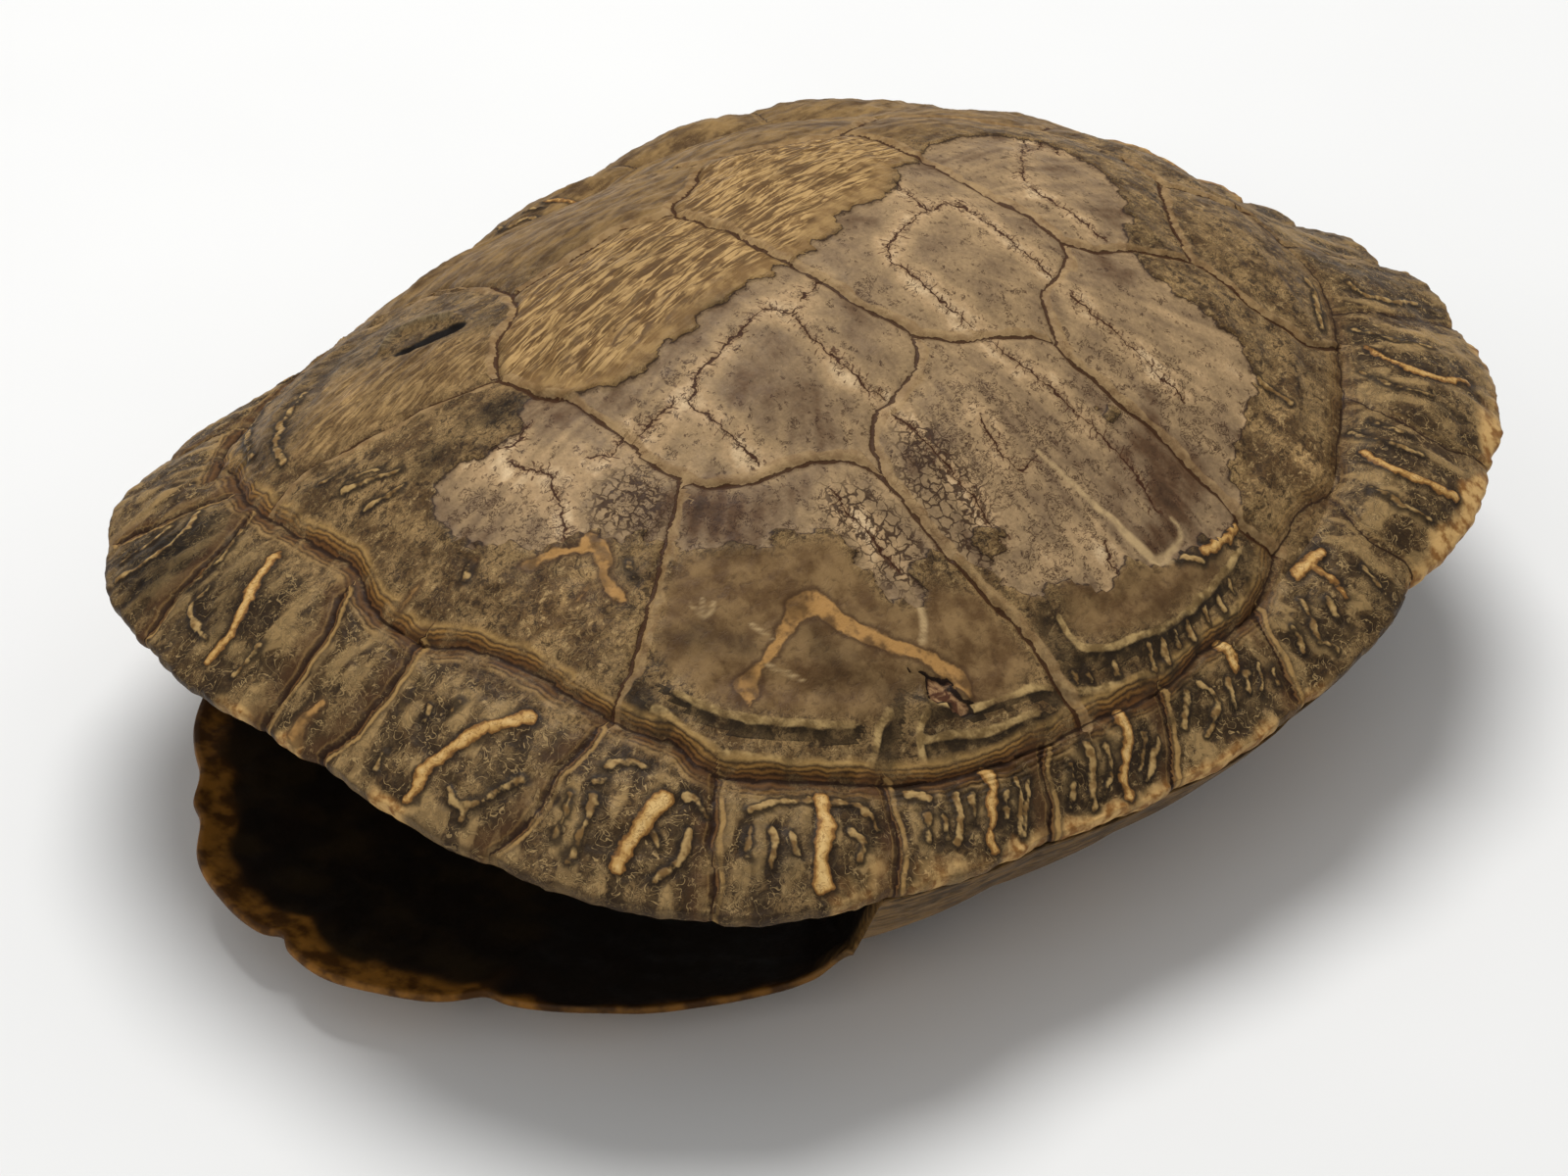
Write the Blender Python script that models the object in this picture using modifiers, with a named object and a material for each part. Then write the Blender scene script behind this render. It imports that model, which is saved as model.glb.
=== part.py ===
"""Empty shell of a large river cooter: the domed carapace and the flat plastron under it.

x is the animal's left, -y its head and z up. The plastron's underside lies on z = 0 and the
middle of the length is at y = 0. Sizes below are millimetres, and MM turns them into metres.
"""
import bpy
import numpy as np
from math import atan2, ceil, hypot, pi, sqrt
from mathutils import Matrix, Vector
from mathutils.geometry import delaunay_2d_cdt

MM = 0.001

# ---------------------------------------------------------------- driving dimensions
CENTRE_Y = -12.0          # where the dome is highest
DOME_TOP = 101.0
BLUNT_TOP = 0.15          # share of the dome's reach over which its top is rounded off
DOME_WALL = 4.5
RIM_WALL = 5.5
WALL_CHANGE = 0.8         # share of the dome's reach where the wall starts to thicken
RIM_EDGE = 2.4            # height of the blunt edge round the rim
RIM_LIP = 0.8             # how far that edge leans in
RIM_UNDERSIDE = 4.0       # width of the flat band under the rim, where the bridge meets it
SUTURE_GAP = 0.3

GROOVE_HALF = 1.7
GROOVE_DEPTH = 1.2
SCUTE_SWELL = 1.0         # how far a scute stands up in its middle
SWELL_REACH = 9.0

# Ends of the seams between the marginal scutes, from the nuchal's middle to the tail:
# first where each seam reaches the rim, then where it meets the costal or vertebral scutes.
RIM_POINTS = [(0, -138, 54), (7, -137, 54), (43, -133, 51), (76, -114, 46), (91, -88, 44),
              (99, -53, 40), (105, -26, 39), (109, 6, 41), (107, 44, 47), (98, 82, 50),
              (64, 122, 50), (38, 134, 49), (14, 138, 47), (0, 138, 47)]
INNER_POINTS = [(0, -115, 68), (9, -115, 68), (44, -108, 63), (63, -99, 58), (80, -75, 53),
                (91, -46, 51), (96, -19, 51), (94, 12, 52), (87, 43, 57), (73, 67, 62),
                (56, 87, 65), (37, 97, 69), (14, 102, 71), (0, 103, 72)]
SERRATION = [(0, 0.8), (90, 0.8), (125, 1.8), (180, 1.8)]   # degrees from the head, millimetres

# How full the dome is, by the angle from the head: a larger power is a rounder shoulder.
FULLNESS = [(0, 1.6), (45, 1.45), (90, 1.6), (135, 1.9), (180, 2.0)]
# How far the marginals sag under a straight line from seam to rim (negative swells up).
SAG = [(0, -1), (45, -1), (90, 1), (135, -4), (180, 3)]

# Seams between the vertebral and costal scutes, left half, in plan.
DOME_SEAMS = [
    [(0, -66), (10, -66), (17, -67), (23, -66)],
    [(23, -66), (31, -78), (37, -90), (44, -108)],
    [(23, -66), (29, -60), (34, -50), (36, -44), (45, -37)],
    [(45, -37), (40, -33), (36, -24), (29, -12)],
    [(0, -18), (12, -16), (29, -12)],
    [(45, -37), (60, -37), (75, -35), (91, -36)],
    [(29, -12), (37, -4), (45, 12)],
    [(45, 12), (61, 16), (77, 20), (90, 25)],
    [(45, 12), (37, 17), (33, 28), (29, 35)],
    [(0, 33), (10, 32), (29, 35)],
    [(29, 35), (33, 45), (39, 60)],
    [(39, 60), (50, 64), (57, 67), (63, 79)],
    [(39, 60), (31, 66), (17, 82)],
    [(0, 84), (9, 84), (17, 82)],
    [(17, 82), (20, 91), (26, 100)],
]
# Growth ridges along the lower edge of the costal scutes: level on the dome and height.
GROWTH_LINES = [(0.90, 0.9), (0.85, -0.5)]
GROWTH_HALF = 2.0
GROWTH_FROM, GROWTH_TO, GROWTH_STEP = 32, 150, 6    # degrees from the head

# Outline of the plastron's free lobes in plan, with the height of the edge's underside.
FRONT_LOBE = [(0, -141, 11), (10, -141, 11), (20, -138, 11), (28, -134, 11), (36, -127, 11),
              (50, -117, 11), (58, -110, 11), (64, -102, 11), (70, -94, 12), (76, -87, 15),
              (81, -83, 21)]
REAR_LOBE = [(82, 50, 26), (69, 53, 12), (62, 62, 8), (59, 80, 6), (50, 101, 6), (38, 115, 6),
             (24, 120, 6), (13, 117, 6), (0, 109, 6)]
LOBE_STEP = 0.07                        # radians between corners of a lobe's edge
BRIDGE_FROM, BRIDGE_TO = 4, 8           # the bridge reaches from this marginal seam to that one
LOBE_EDGE = 4.0
PLATE = 5.5
PLATE_FLAT = 0.62                       # share of the width that lies flat
BRIDGE_CURVE = 1.65
PLATE_THICKENS = 0.06                   # how much sooner the upper face starts to rise
PLASTRON_SEAMS = [
    [(0, -112), (18, -117), (36, -124)],
    [(0, -84), (30, -88), (61, -99)],
    [(0, -48), (40, -50), (84, -50)],
    [(0, 8), (40, 8), (88, 10)],
    [(0, 56), (30, 52), (59, 60)],
    [(0, 86), (26, 92), (48, 99)],
]
PLASTRON_GROOVE = 0.8
SEAM_MARGIN = 3.0                       # how far the middle seam stops short of the edge

# A slit torn in the front costal scute of the right side, running fore and aft.
SLIT_AT = (-50, -56)
SLIT_SIZE = (1.8, 13.0, 4.5)

# Flattened chart on which the carapace is triangulated: the dome is a disc of this radius.
CHART = 100.0
CHART_BAND = 0.3          # width of the marginals on the chart, in dome radii
SEAM_SNAP = 0.97          # seams that come this near the marginals end on them
ON_RIM = 1.999            # corners from this level out lie on the rim
OUTER_STEP = 9.0
INNER_STEP = 16.0
SEAM_STEP = 8.0
RIM_STEP = 7.0
CLEAR = 0.45              # lattice corners keep this share of a step away from every line
SHORTEN = 1.3             # grooves' shoulders stop short of a crossing by this many half widths
WELD = 0.05               # corners this near each other are one

HORN = ((0.17, 0.115, 0.055), 0.5)
DARK_HORN = ((0.06, 0.035, 0.018), 0.45)


# ---------------------------------------------------------------- curves by angle
def angle_of(x, y):
    """Angle round the dome's middle: 0 at the head, pi at the tail."""
    return atan2(x, -(y - CENTRE_Y))


def smooth_table(angles, values):
    """Cubic through the values, level at the head and at the tail."""
    angles = np.asarray(angles, float)
    values = np.asarray(values, float)
    slopes = np.zeros_like(values)
    slopes[1:-1] = (values[2:] - values[:-2]) / (angles[2:] - angles[:-2])

    def at(theta):
        theta = np.clip(np.abs(theta), angles[0], angles[-1])
        i = np.clip(np.searchsorted(angles, theta) - 1, 0, len(angles) - 2)
        width = angles[i + 1] - angles[i]
        t = (theta - angles[i]) / width
        rise = values[i] * (1 + 2 * t) * (1 - t) ** 2 + values[i + 1] * t * t * (3 - 2 * t)
        lean = slopes[i] * t * (1 - t) ** 2 - slopes[i + 1] * t * t * (1 - t)
        return rise + lean * width
    return at


def by_landmarks(points):
    angles = [angle_of(x, y) for x, y, z in points]
    reach = smooth_table(angles, [hypot(x, y - CENTRE_Y) for x, y, z in points])
    height = smooth_table(angles, [z for x, y, z in points])
    return reach, height


def by_degrees(table):
    return smooth_table(np.radians([a for a, v in table]), [v for a, v in table])


rim_reach, rim_height = by_landmarks(RIM_POINTS)
inner_reach, inner_height = by_landmarks(INNER_POINTS)
fullness = by_degrees(FULLNESS)
sag = by_degrees(SAG)
serration = by_degrees(SERRATION)
RIM_ANGLES = np.array([angle_of(x, y) for x, y, z in RIM_POINTS])
INNER_ANGLES = np.array([angle_of(x, y) for x, y, z in INNER_POINTS])


def tooth(theta):
    """Swell of one marginal's rim, out in its middle and in at its seams; the nuchal has none."""
    i = np.clip(np.searchsorted(RIM_ANGLES, theta) - 1, 0, len(RIM_ANGLES) - 2)
    share = (theta - RIM_ANGLES[i]) / (RIM_ANGLES[i + 1] - RIM_ANGLES[i])
    return np.where(i > 0, serration(theta) * (0.5 - np.abs(2 * share - 1) ** 3), 0.0)


# ---------------------------------------------------------------- the carapace's form
def dome_point(theta, u):
    """Point of the smooth outer surface: u is 0 on top, 1 at the marginals, 2 on the rim."""
    seam = inner_reach(theta)
    seam_z = inner_height(theta)
    power = fullness(theta)
    level = np.clip(u, 0, 1)
    out = np.clip(u - 1, 0, 1)
    top = BLUNT_TOP ** power
    drop = (level ** 2 + BLUNT_TOP ** 2) ** (power / 2) - top
    drop /= (1 + BLUNT_TOP ** 2) ** (power / 2) - top
    reach = seam * level + (rim_reach(theta) + tooth(theta) - seam) * out
    z = np.where(u > 1,
                 seam_z + (rim_height(theta) - seam_z) * out - 4 * sag(theta) * out * (1 - out),
                 seam_z + (DOME_TOP - seam_z) * (1 - drop))
    return np.stack([reach * np.sin(theta), CENTRE_Y - reach * np.cos(theta), z], axis=-1)


def dome_normal(theta, u):
    step = 0.01
    radial = dome_point(theta, np.minimum(u + step, 2.0)) - dome_point(theta, u - step)
    around = dome_point(theta + step, u) - dome_point(theta - step, u)
    normal = np.cross(radial, around)
    return normal / np.linalg.norm(normal, axis=-1, keepdims=True)


def rim_lip(theta):
    """Lower edge of the blunt rim."""
    point = dome_point(theta, 2.0)
    return point - np.array([RIM_LIP * np.sin(theta), -RIM_LIP * np.cos(theta), RIM_EDGE])


def rim_underside(theta):
    """Inner edge of the flat band under the rim."""
    return rim_lip(theta) - RIM_UNDERSIDE * np.array([np.sin(theta), -np.cos(theta), 0.0])


# ---------------------------------------------------------------- the chart
def chart_of(theta, u):
    radius = CHART * np.where(u > 1, 1 + CHART_BAND * (u - 1), u)
    return np.stack([radius * np.sin(theta), -radius * np.cos(theta)], axis=-1)


def from_chart(points):
    theta = np.arctan2(points[:, 0], -points[:, 1])
    radius = np.hypot(points[:, 0], points[:, 1]) / CHART
    return theta, np.where(radius > 1, 1 + (radius - 1) / CHART_BAND, radius)


def chart_of_plan(x, y):
    theta = angle_of(x, y)
    u = hypot(x, y - CENTRE_Y) / inner_reach(theta)
    return chart_of(theta, 1.0 if u > SEAM_SNAP else u)


def resample(line, step):
    """Points evenly spaced along a line, at most one step apart."""
    line = np.asarray(line, float)
    run = np.concatenate([[0], np.cumsum(np.hypot(*np.diff(line, axis=0).T))])
    stops = np.linspace(0, run[-1], max(2, ceil(run[-1] / step) + 1))
    return np.stack([np.interp(stops, run, line[:, 0]), np.interp(stops, run, line[:, 1])], axis=-1)


def beside(line, distance):
    """A line parallel to this one, a little shorter where it meets other seams."""
    along = np.gradient(line, axis=0)
    along /= np.linalg.norm(along, axis=1, keepdims=True)
    shifted = line + distance * np.stack([along[:, 1], -along[:, 0]], axis=-1)
    for end, towards in ((0, 1), (-1, -1)):
        if abs(line[end, 0]) < WELD:
            shifted[end, 0] = 0
        else:
            shifted[end] += towards * abs(distance) * SHORTEN * along[end]
    return shifted


def shoulders(lines):
    """Both upper edges of each groove, apart from those across the middle plane."""
    both = [beside(line, side) for line in lines for side in (-GROOVE_HALF, GROOVE_HALF)]
    return [line for line in both if line[:, 0].max() > WELD and line[:, 0].min() >= 0]


def distance_to(points, lines):
    """Shortest distance from each point to any of the lines."""
    best = np.full(len(points), 1e9)
    for line in lines:
        for a, b in zip(line[:-1], line[1:]):
            leg = b - a
            t = np.clip((points - a) @ leg / max(leg @ leg, 1e-9), 0, 1)
            best = np.minimum(best, np.hypot(*(points - a - t[:, None] * leg).T))
    return best


def triangulate(outline, lines, step):
    """Triangles over a flat outline, with every line as edges and a lattice between them.

    The outline runs from head to tail; its way back is the middle line.
    """
    middle = resample([outline[-1], outline[0]], step)[1:-1]
    middle = middle[distance_to(middle, lines) > CLEAR * step]
    outline = np.vstack([outline, middle])
    reach = np.abs(outline).max() + step
    rise = step * sqrt(3) / 2
    lattice = np.array([((i + 0.5 * (j % 2)) * step, -reach + rise * j)
                        for j in range(int(2 * reach / rise) + 1)
                        for i in range(int(reach / step) + 1)])
    ring = np.vstack([outline, outline[:1]])
    lattice = lattice[inside(lattice, outline)]
    lattice = lattice[distance_to(lattice, [ring] + lines) > CLEAR * step]
    points = [Vector(p) for p in outline]
    edges = [(i, (i + 1) % len(outline)) for i in range(len(outline))]
    for line in lines:
        first = len(points)
        points += [Vector(p) for p in line]
        edges += [(first + i, first + i + 1) for i in range(len(line) - 1)]
    points += [Vector(p) for p in lattice]
    loop = list(range(len(outline)))
    inner_triangles = 1
    found = delaunay_2d_cdt(points, edges, [loop], inner_triangles, WELD)
    flat = np.array([tuple(p) for p in found[0]])
    off_middle = flat[:, 0] > WELD / 5
    return flat, [tuple(face) for face in found[2] if off_middle[face].any()]


def inside(points, outline):
    """Which points lie within a flat outline."""
    count = np.zeros(len(points), int)
    for a, b in zip(outline, np.roll(outline, -1, axis=0)):
        spans = (a[1] > points[:, 1]) != (b[1] > points[:, 1])
        slope = (b[0] - a[0]) / (b[1] - a[1]) if a[1] != b[1] else 0.0
        count += spans & (points[:, 0] < a[0] + slope * (points[:, 1] - a[1]))
    return count % 2 == 1


# ---------------------------------------------------------------- seams on the chart
def rim_stations():
    """Angles of the rim's corners: every marginal seam, and even steps between."""
    stations = [0.0]
    for start, end in zip(RIM_ANGLES[:-1], RIM_ANGLES[1:]):
        width = np.linalg.norm(dome_point(end, 2.0) - dome_point(start, 2.0))
        steps = max(1, round(width / RIM_STEP))
        stations += list(start + (end - start) * np.arange(1, steps + 1) / steps)
    return np.array(stations)


def seam_lines():
    """Middle lines of all the carapace's grooves."""
    lines = [resample([chart_of_plan(x, y) for x, y in seam], SEAM_STEP) for seam in DOME_SEAMS]
    ring = np.linspace(0, pi, ceil(pi * CHART / SEAM_STEP) + 1)
    lines.append(chart_of(ring, np.ones(len(ring))))
    for inner, rim in list(zip(INNER_ANGLES, RIM_ANGLES))[1:]:
        lines.append(resample([chart_of(inner, 1.0), chart_of(rim, 2.0)], SEAM_STEP))
    for line in lines:
        line[np.abs(line[:, 0]) < WELD, 0] = 0.0
    return lines


def growth_lines():
    angles = np.radians(np.arange(GROWTH_FROM, GROWTH_TO, GROWTH_STEP))
    return [(chart_of(angles, np.full(len(angles), level)), height)
            for level, height in GROWTH_LINES]


# ---------------------------------------------------------------- bodies
def new_object(name, points, faces, collection, look):
    """Left half of a body, closed by a mirror."""
    mesh = bpy.data.meshes.new(name)
    mesh.from_pydata([tuple(p * MM) for p in points], [], faces)
    mesh.validate()
    body = bpy.data.objects.new(name, mesh)
    collection.objects.link(body)
    mirror = body.modifiers.new("other_half", 'MIRROR')
    mirror.use_clip = True
    mirror.merge_threshold = 0.00001
    colour, roughness = look
    material = bpy.data.materials.new(name)
    material.use_nodes = True
    shader = material.node_tree.nodes["Principled BSDF"]
    shader.inputs["Base Color"].default_value = (*colour, 1)
    shader.inputs["Roughness"].default_value = roughness
    shader.inputs["Metallic"].default_value = 0.0
    mesh.materials.append(material)
    return body


def join_sheets(upper, lower, bands):
    """Closed half body from two sheets and the bands of points round its edge, top to bottom."""
    up_points, up_faces, up_ring = upper
    low_points, low_faces, low_ring = lower
    points = list(up_points) + list(low_points)
    shift = len(up_points)
    faces = list(up_faces) + [tuple(shift + i for i in reversed(face)) for face in low_faces]
    rings = [up_ring]
    for band in bands:
        rings.append(list(range(len(points), len(points) + len(band))))
        points += list(band)
    rings.append([shift + i for i in low_ring])
    for high, low in zip(rings[:-1], rings[1:]):
        for i in range(len(high) - 1):
            faces.append((high[i], low[i], low[i + 1]))
            faces.append((high[i], low[i + 1], high[i + 1]))
    return points, faces


def ring_of(flat, stations):
    """Indices of the points that lie on the given stations, in their order."""
    return [int(np.argmin(np.hypot(*(flat - station).T))) for station in stations]


def on_middle(points, flat):
    points[np.abs(flat[:, 0]) < WELD / 5, 0] = 0.0
    return points


def carapace_outside(stations):
    grooves = seam_lines()
    growth = growth_lines()
    edges = grooves + shoulders(grooves) + [line for line, height in growth]
    flat, faces = triangulate(stations, edges, OUTER_STEP)
    near = distance_to(flat, grooves)
    rise = -GROOVE_DEPTH * np.clip(1 - near / GROOVE_HALF, 0, 1)
    rise += SCUTE_SWELL * (1 - np.exp(-(near / SWELL_REACH) ** 2))
    on_scute = near > GROOVE_HALF
    for line, height in growth:
        rise += height * on_scute * np.clip(1 - distance_to(flat, [line]) / GROWTH_HALF, 0, 1)
    theta, u = from_chart(flat)
    points = dome_point(theta, u) + dome_normal(theta, u) * rise[:, None]
    on_rim = u > ON_RIM
    points[on_rim] = dome_point(theta[on_rim], 2.0)
    return on_middle(points, flat), faces, ring_of(flat, stations)


def carapace_inside(stations):
    flat, faces = triangulate(stations, [], INNER_STEP)
    theta, u = from_chart(flat)
    wall = DOME_WALL + (RIM_WALL - DOME_WALL) * np.clip(u - WALL_CHANGE, 0, 1)
    points = dome_point(theta, u) - dome_normal(theta, u) * wall[:, None]
    for i in np.nonzero(u > ON_RIM)[0]:
        points[i] = rim_underside(theta[i])
    return on_middle(points, flat), faces, ring_of(flat, stations)


def add_carapace(collection):
    angles = rim_stations()
    stations = chart_of(angles, np.full(len(angles), 2.0))
    stations[[0, -1], 0] = 0.0
    lip = np.array([rim_lip(theta) for theta in angles])
    lip[[0, -1], 0] = 0.0
    points, faces = join_sheets(carapace_outside(stations), carapace_inside(stations), [lip])
    return new_object("carapace", points, faces, collection, HORN)


def lobe_edge(points):
    """Edge of a free lobe, drawn smoothly through its landmarks."""
    reach, height = by_landmarks(points)
    first, last = angle_of(*points[0][:2]), angle_of(*points[-1][:2])
    angles = np.linspace(first, last, ceil((last - first) / LOBE_STEP) + 1)
    edge = [(reach(a) * np.sin(a), CENTRE_Y - reach(a) * np.cos(a), height(a)) for a in angles]
    return np.array(edge)


def plastron_edges():
    """Underside and upper edge of the plastron all round its left half, head to tail."""
    front = lobe_edge(FRONT_LOBE)
    rear = lobe_edge(REAR_LOBE)
    rim = rim_stations()
    start = list(rim).index(RIM_ANGLES[BRIDGE_FROM])
    end = list(rim).index(RIM_ANGLES[BRIDGE_TO])
    bridge = rim[start:end + 1]
    down = np.array([0, 0, SUTURE_GAP])
    lift = np.array([0, 0, LOBE_EDGE])
    low = np.vstack([front, [rim_lip(theta) - down for theta in bridge], rear])
    high = np.vstack([front + lift, [rim_underside(theta) - down for theta in bridge], rear + lift])
    low[[0, -1], 0] = 0.0
    high[[0, -1], 0] = 0.0
    return low, high


def plate_sheet(edge, floor, flat_share, grooves, step):
    """One face of the plastron: flat in the middle and rising towards the given edge."""
    flat, faces = triangulate(edge[:, :2], grooves + shoulders(grooves), step)
    edge_angle = np.array([angle_of(x, y) for x, y, z in edge])
    edge_reach = np.hypot(edge[:, 0], edge[:, 1] - CENTRE_Y)
    theta = np.arctan2(flat[:, 0], CENTRE_Y - flat[:, 1])
    share = np.hypot(flat[:, 0], flat[:, 1] - CENTRE_Y) / np.interp(theta, edge_angle, edge_reach)
    climb = np.clip((share - flat_share) / (1 - flat_share), 0, 1) ** BRIDGE_CURVE
    z = floor + (np.interp(theta, edge_angle, edge[:, 2]) - floor) * climb
    z += PLASTRON_GROOVE * np.clip(1 - distance_to(flat, grooves) / GROOVE_HALF, 0, 1)
    ring = ring_of(flat, edge[:, :2])
    z[ring] = edge[:, 2]
    return on_middle(np.column_stack([flat, z]), flat), faces, ring


def add_plastron(collection):
    low, high = plastron_edges()
    margin = np.array([0, SEAM_MARGIN])
    seams = [resample([low[0, :2] + margin, low[-1, :2] - margin], SEAM_STEP)]
    seams += [resample(seam, SEAM_STEP) for seam in PLASTRON_SEAMS]
    underside = plate_sheet(low, 0.0, PLATE_FLAT, seams, OUTER_STEP)
    topside = plate_sheet(high, PLATE, PLATE_FLAT - PLATE_THICKENS, [], INNER_STEP)
    points, faces = join_sheets(topside, underside, [])
    return new_object("plastron", points, faces, collection, DARK_HORN)


def cut_slit(body, guides):
    """A torn slit, as a shallow cut along y."""
    theta = angle_of(-SLIT_AT[0], SLIT_AT[1])
    u = hypot(SLIT_AT[0], SLIT_AT[1] - CENTRE_Y) / inner_reach(theta)
    mirrored = np.array([-1, 1, 1])
    place = Vector(dome_point(theta, u) * mirrored)
    outward = Vector(dome_normal(theta, u) * mirrored)
    across = Vector((0, 1, 0)).cross(outward).normalized()
    bpy.ops.mesh.primitive_uv_sphere_add(segments=12, ring_count=6, radius=0.5)
    cutter = bpy.context.object
    cutter.name = "slit_cutter"
    turn = Matrix((across, outward.cross(across), outward)).transposed().to_4x4()
    size = Matrix.Diagonal((*[length * MM for length in SLIT_SIZE], 1))
    cutter.matrix_world = Matrix.Translation(place * MM) @ turn @ size
    cutter.hide_render = True
    cutter.display_type = 'WIRE'
    for owner in cutter.users_collection:
        owner.objects.unlink(cutter)
    guides.objects.link(cutter)
    cut = body.modifiers.new("slit", 'BOOLEAN')
    cut.operation = 'DIFFERENCE'
    cut.solver = 'EXACT'
    cut.object = cutter


def main():
    for item in list(bpy.data.objects):
        bpy.data.objects.remove(item)
    shell = bpy.data.collections.new("turtle_shell")
    guides = bpy.data.collections.new("cutters")
    bpy.context.scene.collection.children.link(shell)
    bpy.context.scene.collection.children.link(guides)
    carapace = add_carapace(shell)
    cut_slit(carapace, guides)
    add_plastron(shell)


main()
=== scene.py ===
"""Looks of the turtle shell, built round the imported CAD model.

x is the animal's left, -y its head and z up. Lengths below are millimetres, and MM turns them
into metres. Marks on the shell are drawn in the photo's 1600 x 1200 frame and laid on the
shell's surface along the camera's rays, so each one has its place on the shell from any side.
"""

from math import atan2, ceil, cos, hypot, pi, radians, sin

import bpy
import numpy as np
from mathutils import Matrix


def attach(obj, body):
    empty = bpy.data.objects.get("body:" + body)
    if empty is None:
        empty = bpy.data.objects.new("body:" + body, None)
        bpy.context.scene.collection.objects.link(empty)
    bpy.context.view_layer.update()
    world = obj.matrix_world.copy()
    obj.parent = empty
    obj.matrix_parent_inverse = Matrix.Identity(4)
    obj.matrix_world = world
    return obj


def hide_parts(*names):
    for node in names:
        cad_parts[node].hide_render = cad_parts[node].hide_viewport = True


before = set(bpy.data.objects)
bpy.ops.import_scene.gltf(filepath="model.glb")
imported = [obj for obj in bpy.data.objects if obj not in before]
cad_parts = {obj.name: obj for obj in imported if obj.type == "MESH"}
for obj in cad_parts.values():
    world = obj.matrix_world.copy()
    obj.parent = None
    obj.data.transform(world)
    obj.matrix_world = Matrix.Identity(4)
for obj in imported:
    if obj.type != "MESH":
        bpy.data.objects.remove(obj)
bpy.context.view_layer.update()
MM = 0.001

# ---------------------------------------------------------------- camera
IMAGE_WIDTH, IMAGE_HEIGHT = 1600, 1200
CAMERA_AZIMUTH, CAMERA_ELEVATION, CAMERA_ROLL = 40.591, 35.622, 2.084
CAMERA_TARGET = np.array([-21.37, 14.69, -2.75])
CAMERA_DISTANCE = 773.86
FOCAL_PIXELS = 3838.1
SENSOR = 36.0


def camera_axes():
    """Camera's place and its right, up and backward directions."""
    a, e, r = radians(CAMERA_AZIMUTH), radians(CAMERA_ELEVATION), radians(CAMERA_ROLL)
    back = np.array([sin(a) * cos(e), -cos(a) * cos(e), sin(e)])
    right = np.array([cos(a), sin(a), 0.0])
    up = np.cross(back, right)
    turned_right = cos(r) * right + sin(r) * up
    turned_up = -sin(r) * right + cos(r) * up
    return CAMERA_TARGET + back * CAMERA_DISTANCE, turned_right, turned_up, back


EYE, RIGHT, UP, BACK = camera_axes()


def rays(pixels):
    """Directions from the camera through pixels of the photo."""
    pixels = np.asarray(pixels, float)
    x = (pixels[:, :1] - IMAGE_WIDTH / 2) / FOCAL_PIXELS
    y = (IMAGE_HEIGHT / 2 - pixels[:, 1:2]) / FOCAL_PIXELS
    return -BACK + x * RIGHT + y * UP


# ---------------------------------------------------------------- the shell's form, as in the CAD
CENTRE_Y = -12.0
SHELL_MIDDLE = np.array([0.0, CENTRE_Y, 20.0])
DOME_TOP = 101.0
BLUNT_TOP = 0.15          # how level the top is
DOME_WALL, RIM_WALL = 4.5, 5.5
WALL_CHANGE = 0.8         # level from which the wall thickens towards the rim
RIM_EDGE, RIM_LIP, RIM_UNDERSIDE = 2.4, 0.8, 4.0
SUTURE_GAP = 0.3          # between the carapace and the plastron along the bridge
# Landmarks of the left side, from the head to the tail: on the rim, and on the marginals' inner
# seam. Each seam between two marginals runs from the one list to the other.
RIM_POINTS = [(0, -138, 54), (7, -137, 54), (43, -133, 51), (76, -114, 46), (91, -88, 44),
              (99, -53, 40), (105, -26, 39), (109, 6, 41), (107, 44, 47), (98, 82, 50),
              (64, 122, 50), (38, 134, 49), (14, 138, 47), (0, 138, 47)]
INNER_POINTS = [(0, -115, 68), (9, -115, 68), (44, -108, 63), (63, -99, 58), (80, -75, 53),
                (91, -46, 51), (96, -19, 51), (94, 12, 52), (87, 43, 57), (73, 67, 62),
                (56, 87, 65), (37, 97, 69), (14, 102, 71), (0, 103, 72)]
# By degrees from the head: the marginals' teeth, how full the dome is, and how far the marginals
# sag between their inner seam and the rim.
SERRATION = [(0, 0.8), (90, 0.8), (125, 1.8), (180, 1.8)]
FULLNESS = [(0, 1.6), (45, 1.45), (90, 1.6), (135, 1.9), (180, 2.0)]
SAG = [(0, -1), (45, -1), (90, 1), (135, -4), (180, 3)]
# Seams between the scutes in plan, on the left side, that the photo doesn't show on the right.
FIRST_COSTAL_SEAM = [(45, -37), (60, -37), (75, -35), (91, -36)]
REAR_COSTAL_SEAMS = [
    [(45, 12), (61, 16), (77, 20), (90, 25)],
    [(29, 35), (33, 45), (39, 60)],
    [(39, 60), (50, 64), (57, 67), (63, 79)],
    [(39, 60), (31, 66), (17, 82)],
    [(0, 84), (9, 84), (17, 82)],
]
TAIL_SEAM = [(17, 82), (20, 91), (26, 100)]     # hidden on both sides
# Free edges of the plastron's lobes; the bridges run between these two landmarks of the rim.
FRONT_LOBE = [(0, -141, 11), (10, -141, 11), (20, -138, 11), (28, -134, 11), (36, -127, 11),
              (50, -117, 11), (58, -110, 11), (64, -102, 11), (70, -94, 12), (76, -87, 15),
              (81, -83, 21)]
REAR_LOBE = [(82, 50, 26), (69, 53, 12), (62, 62, 8), (59, 80, 6), (50, 101, 6), (38, 115, 6),
             (24, 120, 6), (13, 117, 6), (0, 109, 6)]
BRIDGE_FROM, BRIDGE_TO = 4, 8
LOBE_EDGE = 1.7           # the real edge is thinner than the CAD's
PLATE = 5.5               # the plate's thickness in its middle
PLATE_FLAT = 0.62         # share of its reach that is level below
PLATE_THICKENS = 0.06     # and how much less of it is level above
BRIDGE_CURVE = 1.65
PLASTRON_GROOVE = 0.8
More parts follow.
